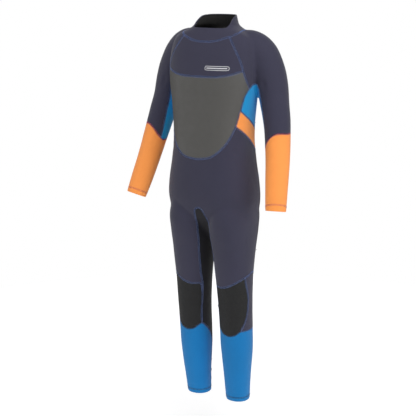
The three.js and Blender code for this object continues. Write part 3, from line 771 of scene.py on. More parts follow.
def mottle_group():
    """Slow and fine changes of shade over a cloth or a moulded face."""
    tree, given, out = new_group("mottle", [("Place", VECTOR), ("Amount", FLOAT)], [("Shade", FLOAT)])
    slow = calc(tree, "SUBTRACT", grain(tree, given["Place"], 9.0, 2.0), 0.5)
    fine = calc(tree, "SUBTRACT", grain(tree, given["Place"], 420.0, 2.0), 0.5)
    both = calc(tree, "ADD", slow, calc(tree, "MULTIPLY", fine, 0.7))
    tree.links.new(calc(tree, "ADD", 1.0, calc(tree, "MULTIPLY", both, given["Amount"])), out["Shade"])
    return tree


def weave_group():
    """Plain weave: threads that go over and under each other."""
    inputs = [("Place", VECTOR), ("Pitch", FLOAT)]
    tree, given, out = new_group("plain_weave", inputs, [("Height", FLOAT)])
    place = node(tree, "ShaderNodeSeparateXYZ", {0: given["Place"]}).outputs
    turn = calc(tree, "DIVIDE", math.pi, given["Pitch"])
    warp = calc(tree, "SINE", calc(tree, "MULTIPLY", place["X"], turn))
    weft = calc(tree, "SINE", calc(tree, "MULTIPLY", place["Z"], turn))
    tree.links.new(calc(tree, "ABSOLUTE", calc(tree, "MULTIPLY", warp, weft)), out["Height"])
    return tree


KNIT = knit_group()
SEWN = sewn_group()
MOTTLE = mottle_group()
WEAVE = weave_group()


def linear(*screen):
    """A colour given as it looks on a screen."""
    return tuple(((c / 255 + 0.055) / 1.055) ** 2.4 if c > 10 else c / 255 / 12.92 for c in screen) + (1,)


class Finish:
    """A material in the making: its tree, its shader's inputs and the place on the piece."""

    def __init__(self, name, colour, **settings):
        self.material = bpy.data.materials.new(name)
        self.material.use_nodes = True
        self.tree = self.material.node_tree
        self.shader = self.tree.nodes["Principled BSDF"].inputs
        self.colour = colour
        for key, value in settings.items():
            self.shader[key.replace("_", " ")].default_value = value
        coordinates = node(self.tree, "ShaderNodeTexCoord").outputs
        self.place, self.facing = coordinates["Object"], coordinates["Normal"]

    def grain(self, scale, detail=3.0):
        return grain(self.tree, self.place, scale, detail)

    def cells(self, scale, **settings):
        inputs = {"Vector": self.place, "Scale": scale}
        return node(self.tree, "ShaderNodeTexVoronoi", inputs, **settings).outputs["Distance"]

    def ramp(self, *values):
        return ramp(self.tree, *values)

    def shared(self, group, **inputs):
        """The outputs of a shared group, laid by the place on the piece."""
        return node(self.tree, "ShaderNodeGroup", {"Place": self.place, **inputs}, node_tree=group).outputs

    def sewn(self):
        # The seam's puckers for the bump, and the painted shade of the seam's valley for the colour.
        seam = node(self.tree, "ShaderNodeAttribute", attribute_name="seam").outputs["Fac"]
        return self.shared(SEWN, Seam=seam)

    def feed(self, name, value):
        self.tree.links.new(value, self.shader[name])

    def tint(self, *shades, mottle=0.0):
        """The colour, darkened or lightened by each shade in turn and by an even mottle."""
        if mottle:
            shades = (*shades, self.shared(MOTTLE, Amount=mottle)["Shade"])
        here = self.colour
        for shade in shades:
            inputs = {"Factor": 1.0, "A": here, "B": shade}
            mixed = node(self.tree, "ShaderNodeMix", inputs, data_type="RGBA", blend_type="MULTIPLY")
            here = mixed.outputs["Result"]
        self.feed("Base Color", here)

    def raised(self, *layers):
        """The finished material, with its bumps: each a height and how far it stands up in metres."""
        inputs = {}
        for height, distance in layers:
            inputs |= {"Height": height, "Distance": distance, "Strength": 1.0}
            inputs["Normal"] = node(self.tree, "ShaderNodeBump", inputs).outputs["Normal"]
        self.feed("Normal", inputs["Normal"])
        return self.material


def jersey(name, colour, sheen=0.15):
    """Neoprene faced with knitted nylon."""
    made = Finish(
        name, colour, Roughness=0.82, Sheen_Weight=sheen, Sheen_Roughness=0.45, Specular_IOR_Level=0.25
    )
    knit = made.shared(KNIT, Facing=made.facing, Wale=1.0 * MM, Course=1.25 * MM)
    sewn = made.sewn()
    # painted shade: the knit's hollows and the seams' valleys darken the colour; the mottle is random tone
    made.tint(knit["Shade"], sewn["Shade"], mottle=0.16)
    soft = made.grain(26.0, 2.0)
    return made.raised((soft, 1.2 * MM), (sewn["Pucker"], 1.1 * MM), (knit["Height"], 0.07 * MM))


def smooth_skin(name, colour):
    """Wind-proof smooth-skin neoprene with a fine embossed grain."""
    made = Finish(name, colour, Specular_IOR_Level=0.42)
    sewn = made.sewn()
    made.tint(sewn["Shade"], mottle=0.12)
    made.feed("Roughness", made.ramp(made.grain(60.0), 0.3, 0.7, 0.54, 0.66))
    soft = made.grain(22.0, 2.0)
    return made.raised((soft, 1.4 * MM), (sewn["Pucker"], 1.0 * MM), (made.cells(900.0), 0.16 * MM))


def knee_rubber(name, colour):
    """Rubber print on cloth: a close field of small round bumps with the weave between them."""
    made = Finish(name, colour, Specular_IOR_Level=0.35)
    sewn = made.sewn()
    dome = made.ramp(made.cells(520.0), 0.15, 0.6, 1.0, 0.0)
    shade = calc(made.tree, "ADD", 0.86, calc(made.tree, "MULTIPLY", dome, 0.2))
    made.tint(shade, sewn["Shade"], mottle=0.18)
    made.feed("Roughness", made.ramp(dome, 0.0, 1.0, 0.78, 0.58))
    return made.raised((sewn["Pucker"], 1.0 * MM), (dome, 0.22 * MM))


def yarn(name, colour):
    """Twisted polyester thread."""
    made = Finish(name, colour, Roughness=0.55, Sheen_Weight=0.3, Specular_IOR_Level=0.4)
    made.tint(mottle=0.5)
    return made.raised((made.grain(2600.0, 1.0), 0.06 * MM))


def woven(name, colour, pitch, rough=0.85):
    """Plain woven tape or cloth."""
    made = Finish(name, colour, Roughness=rough, Sheen_Weight=0.2, Specular_IOR_Level=0.25)
    height = made.shared(WEAVE, Pitch=pitch)["Height"]
    # painted shade: the hollows of the weave are darker than the crossings
    made.tint(calc(made.tree, "ADD", 0.8, calc(made.tree, "MULTIPLY", height, 0.35)), mottle=0.3)
    return made.raised((height, 0.16 * MM))


def pile(name, colour, scale, depth):
    """Hook or loop pile: a dense field of small tufts."""
    made = Finish(name, colour, Roughness=0.9, Sheen_Weight=0.4, Specular_IOR_Level=0.2)
    # painted shade and highlight: the gaps between the tufts are darker and the tufts' tops lighter
    tufts = made.ramp(made.cells(scale), 0.1, 0.7, 1.25, 0.6)
    made.tint(tufts, mottle=0.5)
    return made.raised((tufts, depth))


def moulded(name, colour, rough=0.45):
    """Moulded plastic or rubber with a fine spark-eroded grain."""
    made = Finish(name, colour, Specular_IOR_Level=0.45)
    fine = made.grain(1500.0, 2.0)
    made.tint(mottle=0.2)
    made.feed("Roughness", made.ramp(fine, 0.3, 0.7, rough - 0.08, rough + 0.1))
    return made.raised((fine, 0.04 * MM))


def enamelled(name, colour):
    """Black enamelled zinc, worn to bare metal on its edges."""
    made = Finish(name, colour, Roughness=0.34, Coat_Weight=0.3)
    edges = node(made.tree, "ShaderNodeNewGeometry").outputs["Pointiness"]
    worn = calc(made.tree, "MULTIPLY", made.ramp(edges, 0.53, 0.6, 0.0, 1.0), made.grain(900.0))
    inputs = {"Factor": worn, "A": colour, "B": linear(150, 150, 155)}
    made.feed("Base Color", node(made.tree, "ShaderNodeMix", inputs, data_type="RGBA").outputs["Result"])
    made.feed("Metallic", made.ramp(worn, 0.0, 1.0, 0.2, 0.95))
    return made.raised((made.grain(700.0), 0.03 * MM))


def printed(name, colour):
    """A heat-pressed print, slightly crazed where the cloth stretches."""
    made = Finish(name, colour, Roughness=0.5, Specular_IOR_Level=0.4)
    shade = made.ramp(made.cells(420.0, feature="DISTANCE_TO_EDGE"), 0.0, 0.05, 0.82, 1.0)
    made.tint(shade)
    return made.raised((shade, 0.05 * MM))


NAVY = jersey("navy_jersey", linear(56, 55, 73))
BLUE = jersey("blue_jersey", linear(10, 116, 181))
# painted light: the side panels get a lighter copy of the blue jersey, standing in for the light that falls
# on the flanks
LIT_FLANK_BLUE = jersey("lit_flank_jersey", linear(20, 146, 208))
ORANGE = jersey("orange_jersey", linear(255, 158, 80))
INK = jersey("black_jersey", linear(20, 19, 26))
LINING = jersey("black_lining", linear(46, 45, 45), 0.1)
SKIN = smooth_skin("smooth_skin", linear(80, 79, 77))
KNEE = knee_rubber("knee_rubber", linear(27, 27, 28))
SLATE_THREAD = yarn("slate_thread", linear(82, 100, 150))
PLUM_THREAD = yarn("plum_thread", linear(170, 70, 110))
DARK_THREAD = yarn("dark_thread", linear(38, 38, 52))
TAPE = woven("zip_tape", linear(34, 34, 38), 0.9 * MM)
FLAP = woven("flap_cloth", linear(30, 30, 34), 1.3 * MM)
LABEL = woven("woven_label", linear(216, 216, 218), 0.5 * MM, 0.6)
HOOKS = pile("hook_pile", linear(30, 30, 33), 900.0, 0.4 * MM)
LOOPS = pile("loop_pile", linear(36, 36, 40), 1300.0, 0.3 * MM)
TEETH = moulded("zip_teeth", linear(30, 30, 33))
PULL = moulded("pull_rubber", linear(40, 40, 44), 0.6)
METAL = enamelled("slider_metal", linear(48, 48, 52))
PRINT = printed("print", linear(214, 215, 219))

PANEL_FINISH = {
    "side_panel": (LIT_FLANK_BLUE, "blue_jersey"),
    "lower_leg": (BLUE, "blue_jersey"),
    "forearm": (ORANGE, "orange_jersey"),
    "waist_insert": (ORANGE, "orange_jersey"),
    "chest_panel": (SKIN, "smooth_skin"),
    "knee_pad": (KNEE, "knee_rubber"),
    "inner_leg": (INK, "black_jersey"),
}


def finish_of(name):
    for start, finish in PANEL_FINISH.items():
        if name.startswith(start):
            return finish
    return NAVY, "navy_jersey"


# ---- The panels as pieces of cloth -----------------------------------------------------------------
NAPE_GAP = 0.3 * MM  # half the gap in the collar at the centre of the back


def part_at_nape(mesh):
    """Opens the collar at the centre of the back."""
    bm = bmesh.new()
    bm.from_mesh(mesh)
    middle = [e for e in bm.edges if all(abs(v.co.x) < ON_LINE and v.co.y > 0 for v in e.verts)]
    bmesh.ops.split_edges(bm, edges=middle)
    for v in bm.verts:
        if abs(v.co.x) < ON_LINE and v.co.y > 0:
            side = sum(middle_of(f).x for f in v.link_faces)
            v.co.x = math.copysign(NAPE_GAP, side)
    bm.to_mesh(mesh)
    bm.free()


def panel_piece(name, corners, distances):
    """One panel from its faces' corners: the outer skin, thickened inwards, with a black lining."""
    places = {}
    faces = [tuple(places.setdefault(v, len(places)) for v in face) for face in corners]
    points = [v.co.copy() for v in places]
    piece = mesh_object(f"cloth_{name}", points, faces)
    mesh = piece.data
    seam = mesh.attributes.new("seam", "FLOAT", "POINT")
    seam.data.foreach_set("value", [distances[v] for v in places])
    finish, slot = finish_of(name)
    for material in (finish, LINING):
        mesh.materials.append(material)
    if name == "collar":
        part_at_nape(mesh)
    applied(piece, "SOLIDIFY", thickness=WALL, offset=-1, use_even_offset=False, material_offset=1)
    bpy.ops.object.shade_smooth_by_angle(angle=math.radians(50))
    length = max(max(place) - min(place) for place in zip(*points))
    declared(piece, "root", slot, name)


def cloth_panels(bm, layer, distances):
    """Makes every panel from its faces of the skin."""
    by_panel = {k: [] for k in range(len(PANELS))}
    for face in bm.faces:
        by_panel[face[layer]].append(face.verts[:])
    for k, corners in by_panel.items():
        panel_piece(PANELS[k], corners, distances)


# ---- Flatlock seams --------------------------------------------------------------------------------
STITCH = 3.0 * MM
SEAM_HALF = 2.35 * MM
NEEDLE_THREAD = 0.34 * MM
LOOPER_THREAD = 0.27 * MM
TWIN_HALF = 1.3  # half the distance between the two rows of a hem, in millimetres
HEM_UP = 12.0  # the hem stitching lies this far from the edge, in millimetres
CUFF_SPAN = 63  # between the last two rows of the sleeve, in millimetres


def strand(path, radius):
    """Points and faces of a thread of four sides, in a stitch's own frame of run, across and up."""
    path = np.array(path, float) * MM
    ahead = np.gradient(path, axis=0)
    ahead /= np.linalg.norm(ahead, axis=1)[:, None]
    side = np.cross(ahead, [0, 0, 1])
    side /= np.linalg.norm(side, axis=1)[:, None]
    up = np.cross(side, ahead)
    ring = [side, up, -side, -up]
    points = np.stack([path + radius * r for r in ring], axis=1).reshape(-1, 3)
    faces = []
    for row in range(len(path) - 1):
        for i in range(4):
            a, b = row * 4 + i, row * 4 + (i + 1) % 4
            faces.append((a, a + 4, b + 4, b))
    last = (len(path) - 1) * 4
    faces += [(0, 1, 2, 3), (last + 3, last + 2, last + 1, last)]
    return points, faces


def straight_stitch(aside=0.0, gap=0.2, low=0.0, high=0.42):
    """One stitch of needle thread beside the line, arched from low to high over the cloth."""
    end = STITCH / MM / 2 - gap
    return strand([(-end, aside, low), (0, aside, high), (end, aside, low)], NEEDLE_THREAD)


def flatlock_stitch():
    """Two rows of needle thread, with the looper's thread across them."""
    half, wide = STITCH / MM / 2, SEAM_HALF / MM
    needles = [straight_stitch(aside, 0.15, 0.1, 0.55) for aside in (wide, -wide)]
    across = [(-half, -wide, 0.3), (-half / 2, 0, 0.62), (0, wide, 0.35)]
    across += [(half / 2, 0, 0.62), (half, -wide, 0.3)]
    return [*needles, strand(across, LOOPER_THREAD)]


FLATLOCK = flatlock_stitch()
TWIN_HEM = [straight_stitch(aside, high=0.45) for aside in (TWIN_HALF, -TWIN_HALF)]
PLAIN = [straight_stitch()]


def spaced_line(line, normals):
    """The place, direction and normal of each stitch along a line."""
    along = np.concatenate([[0], np.cumsum(np.linalg.norm(np.diff(line, axis=0), axis=1))])
    count = max(1, round(along[-1] / STITCH))
    at = (np.arange(count) + 0.5) * along[-1] / count
    half = along[-1] / count / 2

    def place(s):
        return np.stack([np.interp(s, along, line[:, k]) for k in range(3)], axis=1)

    run = place(at + half) - place(at - half)
    run /= np.maximum(np.linalg.norm(run, axis=1), 1e-9)[:, None]
    up = np.stack([np.interp(at, along, normals[:, k]) for k in range(3)], axis=1)
    up -= run * (run * up).sum(1)[:, None]
    up /= np.linalg.norm(up, axis=1)[:, None]
    return place(at), run, up


def sewn_line(stitch, line, normals):
    """One stitch's strands laid all along a line."""
    places, run, up = spaced_line(line, normals)
    across = np.cross(up, run)
    laid = []
    for points, faces in stitch:
        strands = (
            places[:, None]
            + run[:, None] * points[None, :, :1]
            + across[:, None] * points[None, :, 1:2]
            + up[:, None] * points[None, :, 2:]
        )
        laid += [(strand_points, faces) for strand_points in strands]
    return joined(laid)


def thread_piece(name, lines, material, body):
    """The stitching along several lines as one piece."""
    piece = mesh_object(name, *joined(lines))
    piece.data.materials.append(material)
    alone(piece)
    bpy.ops.object.shade_smooth()
    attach(piece, body)


def thread_kind(pair):
    """The kind of thread that joins two panels."""
    names = [PANELS[k] for k in pair]
    if any(n.startswith("forearm") for n in names):
        return "plum"
    if any(n.startswith("knee_pad") for n in names) and any(n.startswith("lower_leg") for n in names):
        return "dark"
    if "front_body" in names and any(n.startswith(("seat_panel", "upper_back")) for n in names):
        return "dark"
    arms = any(n.startswith(("sleeve", "collar", "chest", "upper_back", "waist")) for n in names)
    return "upper" if arms else "lower"


THREADS = {
    "upper": ("seams_upper", SLATE_THREAD),
    "lower": ("seams_lower", SLATE_THREAD),
    "dark": ("seams_dark", DARK_THREAD),
    "plum": ("seams_elbow", PLUM_THREAD),
    "ankle": ("hems_ankle", DARK_THREAD),
    "cuff": ("hems_cuff", PLUM_THREAD),
}


def hem_lines(bm):
    """Closed lines of points and normals round each cuff and ankle."""
    skin = BVHTree.FromBMesh(bm)
    lines = []
    for _, side in HANDS:
        ankle = leg_rings(side, np.array([HEM_UP]))[0]
        cuff = sleeve_rings(side, np.array([len(SLEEVE) - 1 - HEM_UP / CUFF_SPAN]))[0][0]
        for kind, ring in (("ankle", in_frame(ankle)), ("cuff", in_frame(cuff))):
            hits = [skin.find_nearest(Vector(p)) for p in [*ring, ring[0]]]
            lines.append((kind, np.array([h[0] for h in hits]), np.array([h[1] for h in hits])))
    return lines


def stitching(bm, chains):
    """The flatlock seams and the twin-needle hems, in one piece for each kind of thread."""
    lines = {kind: [] for kind in THREADS}
    for pair, run in chains:
        places, normals = np.array([v.co for v in run]), np.array([v.normal for v in run])
        lines[thread_kind(pair)].append(sewn_line(FLATLOCK, places, normals))
    for kind, places, normals in hem_lines(bm):
        lines[kind].append(sewn_line(TWIN_HEM, places, normals))
    for kind, (name, material) in THREADS.items():
        thread_piece(name, lines[kind], material, "root")


# ---- Thin pieces laid over the skin ----------------------------------------------------------------
def dropped(skin, x, z, lift, way):
    """The point of the skin at x and z, seen along y, lifted off it, and the skin's normal there."""
    hit, normal, _, _ = skin.ray_cast(Vector((x, -way, z)), Vector((0, way, 0)))
    return hit + normal * lift, normal


def finished_cloth(piece, material, thick, body, slot, node_name, lining=None):
    mesh = piece.data
    mesh.materials.append(material)
    mesh.materials.append(lining or material)
    applied(piece, "SOLIDIFY", thickness=thick, offset=-1, material_offset=1)
    bpy.ops.object.shade_smooth_by_angle(angle=math.radians(40))
    low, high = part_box(node_name)
    declared(piece, body, slot, node_name)


def grid_faces(columns, rows, flip=False):
    """Faces between neighbouring columns of points."""
    faces = []
    for i in range(columns - 1):
        for k in range(rows - 1):
            a = i * rows + k
            face = (a, a + rows, a + rows + 1, a + 1)
            faces.append(face[::-1] if flip else face)
    return faces


LAID_ROWS = 9


def laid_on_back(name, skin, columns, lift):
    """A grid over the back of the skin. Each column is its x, foot and head, and the lift goes by x."""
    points = []
    for x, foot, head in columns:
        for k in range(LAID_ROWS):
            z = foot + (head - foot) * k / (LAID_ROWS - 1)
            points.append(dropped(skin, x, z, lift(x), -1)[0])
    return mesh_object(name, points, grid_faces(len(columns), LAID_ROWS, flip=True))


def box_columns(node_name, count, margin=0.0, free_end=0.0):
    """Even columns over a CAD node's box. The end at the lowest x can be rounded off."""
    low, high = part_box(node_name)
    middle, half = (low.z + high.z) / 2, (high.z - low.z) / 2 - margin
    columns = []
    for x in np.linspace(low.x + margin, high.x - margin, count):
        short = max(0.0, free_end - (x - low.x - margin))
        tall = half - free_end + math.sqrt(max(free_end**2 - short**2, 0.0))
        columns.append((float(x), middle - tall, middle + tall))
    return columns


# How far each piece's outer face stands off the skin, and its thickness.
TAB_TOP = 4.7 * MM
TAB_SEWN_TOP = 2.6 * MM
TAB_THICK = 2.2 * MM
TAB_BEND = (12 * MM, 20 * MM)  # between these the tab comes down to the collar
TAB_CORNER, PATCH_CORNER = 9 * MM, 5 * MM
TAB_SEAM_IN = 2.4 * MM  # from the tab's edge to its stitching
TAB_SEWN_IN = 5.4 * MM  # from the tab's sewn edge to the row that holds it
LOOP_TOP = 1.1 * MM
HOOK_TOP = 2.2 * MM
PILE_THICK = 0.8 * MM
LABEL_DEPTH = -3.3 * MM
LABEL_THICK = 0.4 * MM


def tab_lift(x):
    """The tab lies over its two patches and comes down to the collar at its sewn edge."""
    return TAB_TOP + (TAB_SEWN_TOP - TAB_TOP) * float(smoothstep(x, *TAB_BEND))


def stitched_rows(name, skin, rows, lift, body):
    """Plain stitching over the back of the skin along rows of x and z."""
    lines = []
    for row in rows:
        laid = [dropped(skin, x, z, lift(x), -1) for x, z in row]
        places, normals = (np.array([pair[k] for pair in laid]) for k in (0, 1))
        lines.append(sewn_line(PLAIN, places, normals))
    thread_piece(name, lines, SLATE_THREAD, body)


def nape_closure(skin):
    """The collar tab with its hooks, the loops on the collar and the tab's stitching."""
    tab = laid_on_back("tab_cloth", skin, box_columns("collar_tab", 40, 0, TAB_CORNER), tab_lift)
    finished_cloth(tab, NAVY, TAB_THICK, "tab", "navy_jersey", "collar_tab", LINING)
    for name, top, material, body in (
        ("hook_patch", HOOK_TOP, HOOKS, "tab"),
        ("loop_patch", LOOP_TOP, LOOPS, "root"),
    ):
        columns = box_columns(name, 30, 0, PATCH_CORNER)
        patch = laid_on_back(name + "_pile", skin, columns, lambda x, t=top: t)
        finished_cloth(patch, material, PILE_THICK, body, "hook_and_loop", name)

    inset = box_columns("collar_tab", 60, TAB_SEAM_IN, TAB_CORNER - TAB_SEAM_IN)
    sewn_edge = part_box("collar_tab")[1].x - TAB_SEWN_IN
    foot, head = inset[-1][1:]
    outline = [(x, high) for x, _, high in inset][::-1] + [(x, low) for x, low, _ in inset]
    rows = [outline + [outline[0]], [(sewn_edge, z) for z in np.linspace(foot, head, 12)]]
    stitched_rows("tab_stitching", skin, rows, tab_lift, "tab")


ZIP_SEAM_IN = 2.6 * MM  # from the slit's edge to the stitching that holds the tape


def zip_stitching(skin):
    """The rows that hold the zip's tapes, up both sides of the slit and across its foot."""
    x = SLIT + ZIP_SEAM_IN
    foot, head = SLIT_FOOT - ZIP_SEAM_IN, NAPE - 3 * MM
    sides = [[(turn * x, z) for z in np.linspace(foot, head, 90)] for turn in (1, -1)]
    across = [(float(place), foot) for place in np.linspace(-x, x, 8)]
    stitched_rows("zip_stitching", skin, [*sides, across], lambda place: 0.0, "root")


def labels(skin):
    """The two blank woven labels inside the back."""
    for name in ("size_label", "care_label"):
        label = laid_on_back(name + "_cloth", skin, box_columns(name, 16), lambda x: LABEL_DEPTH)
        finished_cloth(label, LABEL, LABEL_THICK, "root", "woven_label", name)


BADGE_LIFT = 0.65 * MM
BADGE_RIM = 1.3 * MM
BADGE_STRIPE = 1.3 * MM
PRINT_THICK = 0.3 * MM


def capsule(half_long, half_tall):
    """Points evenly along a capsule's outline, round its middle."""
    straight = half_long - half_tall
    arc = np.linspace(-math.pi / 2, math.pi / 2, 11)
    run = np.linspace(straight, -straight, 16)[1:-1]
    right = [(straight + half_tall * math.cos(a), half_tall * math.sin(a)) for a in arc]
    top = [(x, half_tall) for x in run]
    return right + top + [(-x, -z) for x, z in right] + [(-x, -z) for x, z in top]


def badge(skin):
    """A plain printed mark: a capsule's outline with one stripe inside."""
    low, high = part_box("chest_badge")
    middle, half = (low + high) / 2, (high - low) / 2
    outer = capsule(half.x, half.z)
    inner = capsule(half.x - BADGE_RIM, half.z - BADGE_RIM)
    count = len(outer)
    flat = outer + inner
    faces = [(i, (i + 1) % count, count + (i + 1) % count, count + i) for i in range(count)]
    columns = 18
    for x in np.linspace(-half.x + half.z, half.x - half.z, columns):
        flat += [(x, -BADGE_STRIPE), (x, BADGE_STRIPE)]
    faces += [tuple(2 * count + i for i in face) for face in grid_faces(columns, 2)]
    points = [dropped(skin, middle.x + x, middle.z + z, BADGE_LIFT, 1)[0] for x, z in flat]
    piece = mesh_object("badge_print", points, faces)
    finished_cloth(piece, PRINT, PRINT_THICK, "root", "print", "chest_badge")


# ---- Zip, built upright in its own millimetres and then leant onto the back ------------------------
# x is across, y out of the back, and z runs up the teeth from their foot.
ZIP_LENGTH = 375
TAPE_NEAR, TAPE_FAR = 0.8, 13.3
TAPE_TOP, TAPE_THICK = -3.3, 0.9
TAPE_ENDS = (-8, ZIP_LENGTH + 8)
RIB_DEPTH, RIB_PITCH = 0.24, 1.65
TOOTH_PITCH, TOOTH_TALL, TOOTH_FOOT = 3.0, 1.9, 0.3
TOOTH_NEAR, TOOTH_FAR = 0.55, 3.4
TOOTH_TOP = -0.6
STOP_TOP, STOP_TALL, STOP_GAP = -0.4, 4.0, 0.3
SLIDER_FOOT, SLIDER_HEAD = 360, 374
PLATE_HALF, PLATE_TAPER = 5.2, 0.82
PLATES = {"front_plate": (-0.2, 1.2), "back_plate": (-6.0, -4.6)}  # where each lies along y
WEDGE = ((-0.5, 0.5), (-4.8, 0), (SLIDER_FOOT + 7.5, SLIDER_HEAD - 0.6))
LIP, LIP_DEPTH = (3.95, 4.5), (-2.85, 0)
EAR, EAR_TOP, EAR_HALF = (2.8, 3.8), 4.4, 2
BRIDGE_Y, BRIDGE_Z = 3.6, 367
BRIDGE_RADIUS, EYE_RADIUS, BORE_RADIUS = 0.8, 2.0, 1.2
PULL_TOP, PULL_HALF, PULL_HALF_THICK = 1.5, 2.4, 0.8
PULL_STEPS = ((5, 3.8), (20, 4.4), (2, 2.6))  # each step's length, and the half width at its foot
GRIP_RIBS, GRIP_TOP, GRIP_PITCH, GRIP_TALL, GRIP_HALF, GRIP_OUT = 5, 11, 2.2, 0.9, 3.1, 0.3
CORD_HOLE = (23.6, 27)  # below the bridge
FLAP_HALF, FLAP_TOP, FLAP_THICK = 23, -6.4, 1.5
FLAP_BEND = (13.9, 18.5)  # between these the flap rises to the back panel that it is sewn to
UNDER_TAPE = 0.05
BACK_LEAN = math.asin(0.04397)
ZIP_FOOT = Vector((0, TEETH_BOX[1].y + 0.6 * MM, TEETH_BOX[0].z + 0.132 * MM))
LEANT = Matrix.Translation(ZIP_FOOT) @ Matrix.Rotation(BACK_LEAN, 4, "X")


def zip_cloth(name, profile, material, node_name, thick):
    """A long strip with the same cross-section all the way up the zip."""
    heights = np.linspace(*TAPE_ENDS, 66)
    points = [LEANT @ (Vector((x, y, z)) * MM) for x, y in profile for z in heights]
    faces = grid_faces(len(profile), len(heights), flip=profile[0][0] < profile[-1][0])
    finished_cloth(mesh_object(name, points, faces), material, thick * MM, "root", "zip_tape", node_name)


def block(name, x, y, z):
    """A box between pairs of limits."""
    low, high = (Vector([pair[k] for pair in (x, y, z)]) * MM for k in (0, 1))
    bpy.ops.object.select_all(action="DESELECT")
    bpy.ops.mesh.primitive_cube_add(size=1, location=(low + high) / 2, scale=high - low)
    bpy.ops.object.transform_apply(location=True, rotation=True, scale=True)
    piece = bpy.context.object
    piece.name = name
    return piece


def cross_bar(name, radius, half):
    """A round bar across the zip at the slider's bridge."""
    place = Vector((0, BRIDGE_Y, BRIDGE_Z)) * MM
    bpy.ops.object.select_all(action="DESELECT")
    bpy.ops.mesh.primitive_cylinder_add(
        vertices=24, radius=radius * MM, depth=2 * half * MM, location=place, rotation=(0, math.pi / 2, 0)
    )
    bpy.ops.object.transform_apply(location=True, rotation=True, scale=True)
    piece = bpy.context.object
    piece.name = name
    return piece


def pick_faces(piece, chosen):
    """Selects the faces whose middle is chosen, and enters edit mode. Gives the middle of them all."""
    alone(piece)
    bpy.ops.object.mode_set(mode="EDIT")
    bpy.ops.mesh.select_mode(type="FACE")
    bpy.ops.mesh.select_all(action="DESELECT")
    bpy.ops.object.mode_set(mode="OBJECT")
    picked = [face for face in piece.data.polygons if chosen(face.center / MM)]
    for face in picked:
        face.select = True
    middle = sum((face.center for face in picked), Vector()) / len(picked)
    bpy.ops.object.mode_set(mode="EDIT")
    return middle


def resized(piece, chosen, scale):
    """Resizes the chosen faces about their middle."""
    middle = pick_faces(piece, chosen)
    bpy.ops.transform.resize(value=scale, center_override=middle)
    bpy.ops.object.mode_set(mode="OBJECT")


def drawn_down(piece, length, widen):
    """Extrudes the lowest face down and widens it."""
    foot = min(face.center.z for face in piece.data.polygons) / MM
    middle = pick_faces(piece, lambda c: c.z < foot + 0.01)
    bpy.ops.mesh.extrude_region_move(TRANSFORM_OT_translate={"value": (0, 0, -length * MM)})
    bpy.ops.transform.resize(value=(widen, 1, 1), center_override=middle - Vector((0, 0, length * MM)))
    bpy.ops.object.mode_set(mode="OBJECT")


def softened(piece, width, segments=2):
    """Rounds the sharp edges."""
    applied(piece, "BEVEL", width=width * MM, segments=segments, limit_method="ANGLE")


def combined(piece, operation, *others):
    """Adds or cuts away other pieces, which are then gone."""
    for other in others:
        applied(piece, "BOOLEAN", operation=operation, object=other, solver="EXACT")
        bpy.data.objects.remove(other)


def onto_back(piece, material, body, slot, node_name):
    """Leans a finished zip piece onto the back and puts it in place of its CAD node."""
    alone(piece)
    piece.data.materials.clear()
    piece.data.materials.append(material)
    piece.rotation_euler = (BACK_LEAN, 0, 0)
    piece.location = ZIP_FOOT
    bpy.ops.object.transform_apply(location=True, rotation=True, scale=True)
    bpy.ops.object.shade_smooth_by_angle(angle=math.radians(35))
    declared(piece, body, slot, node_name)


def zip_teeth(hand, side):
    """One moulded tooth, and the row of them: the two rows are half a pitch apart."""
    foot = TOOTH_FOOT if side > 0 else TOOTH_FOOT + TOOTH_PITCH / 2
    x = sorted((side * TOOTH_NEAR, side * TOOTH_FAR))
    tooth = block(f"teeth_{hand}", x, (TAPE_TOP, TOOTH_TOP), (foot, foot + TOOTH_TALL))
    resized(tooth, lambda c: abs(c.x) < TOOTH_NEAR + 0.01, (1, 0.75, 0.6))
    softened(tooth, 0.25, 1)
    count = int((ZIP_LENGTH - foot - TOOTH_TALL) / TOOTH_PITCH) + 1
    step = (0, 0, TOOTH_PITCH * MM)
    fixed = {"use_relative_offset": False, "use_constant_offset": True}
    applied(tooth, "ARRAY", count=count, constant_offset_displace=step, **fixed)
    onto_back(tooth, TEETH, "root", "zip_teeth", f"zip_teeth_{hand}")


def zip_stop(name, x, foot, soft, node_name):
    stop = block(name, x, (TAPE_TOP, STOP_TOP), (foot, foot + STOP_TALL))
    softened(stop, soft)
    onto_back(stop, METAL, "root", "slider_metal", node_name)


def zip_tapes_and_stops():
    """The two ribbed tapes, a stop at the head of each and one stop across both feet."""
    for hand, side in HANDS:
        profile = []
        for x in np.linspace(TAPE_NEAR, TAPE_FAR, 32):
            wave = (1 - math.cos(2 * math.pi * (x - TOOTH_FAR) / RIB_PITCH)) / 2
            profile.append((side * x, TAPE_TOP - RIB_DEPTH * wave if x > TOOTH_FAR else TAPE_TOP))
        tape = f"zip_tape_{hand}"
        zip_cloth(f"woven_{tape}", profile, TAPE, tape, TAPE_THICK - RIB_DEPTH)
        x = sorted((side * TAPE_NEAR, side * TOOTH_FAR))
        zip_stop(f"stop_{hand}", x, ZIP_LENGTH + STOP_GAP, 0.5, f"top_stop_{hand}")
    zip_stop("stop_foot", (-TOOTH_FAR, TOOTH_FAR), -STOP_GAP - STOP_TALL, 0.6, "bottom_stop")


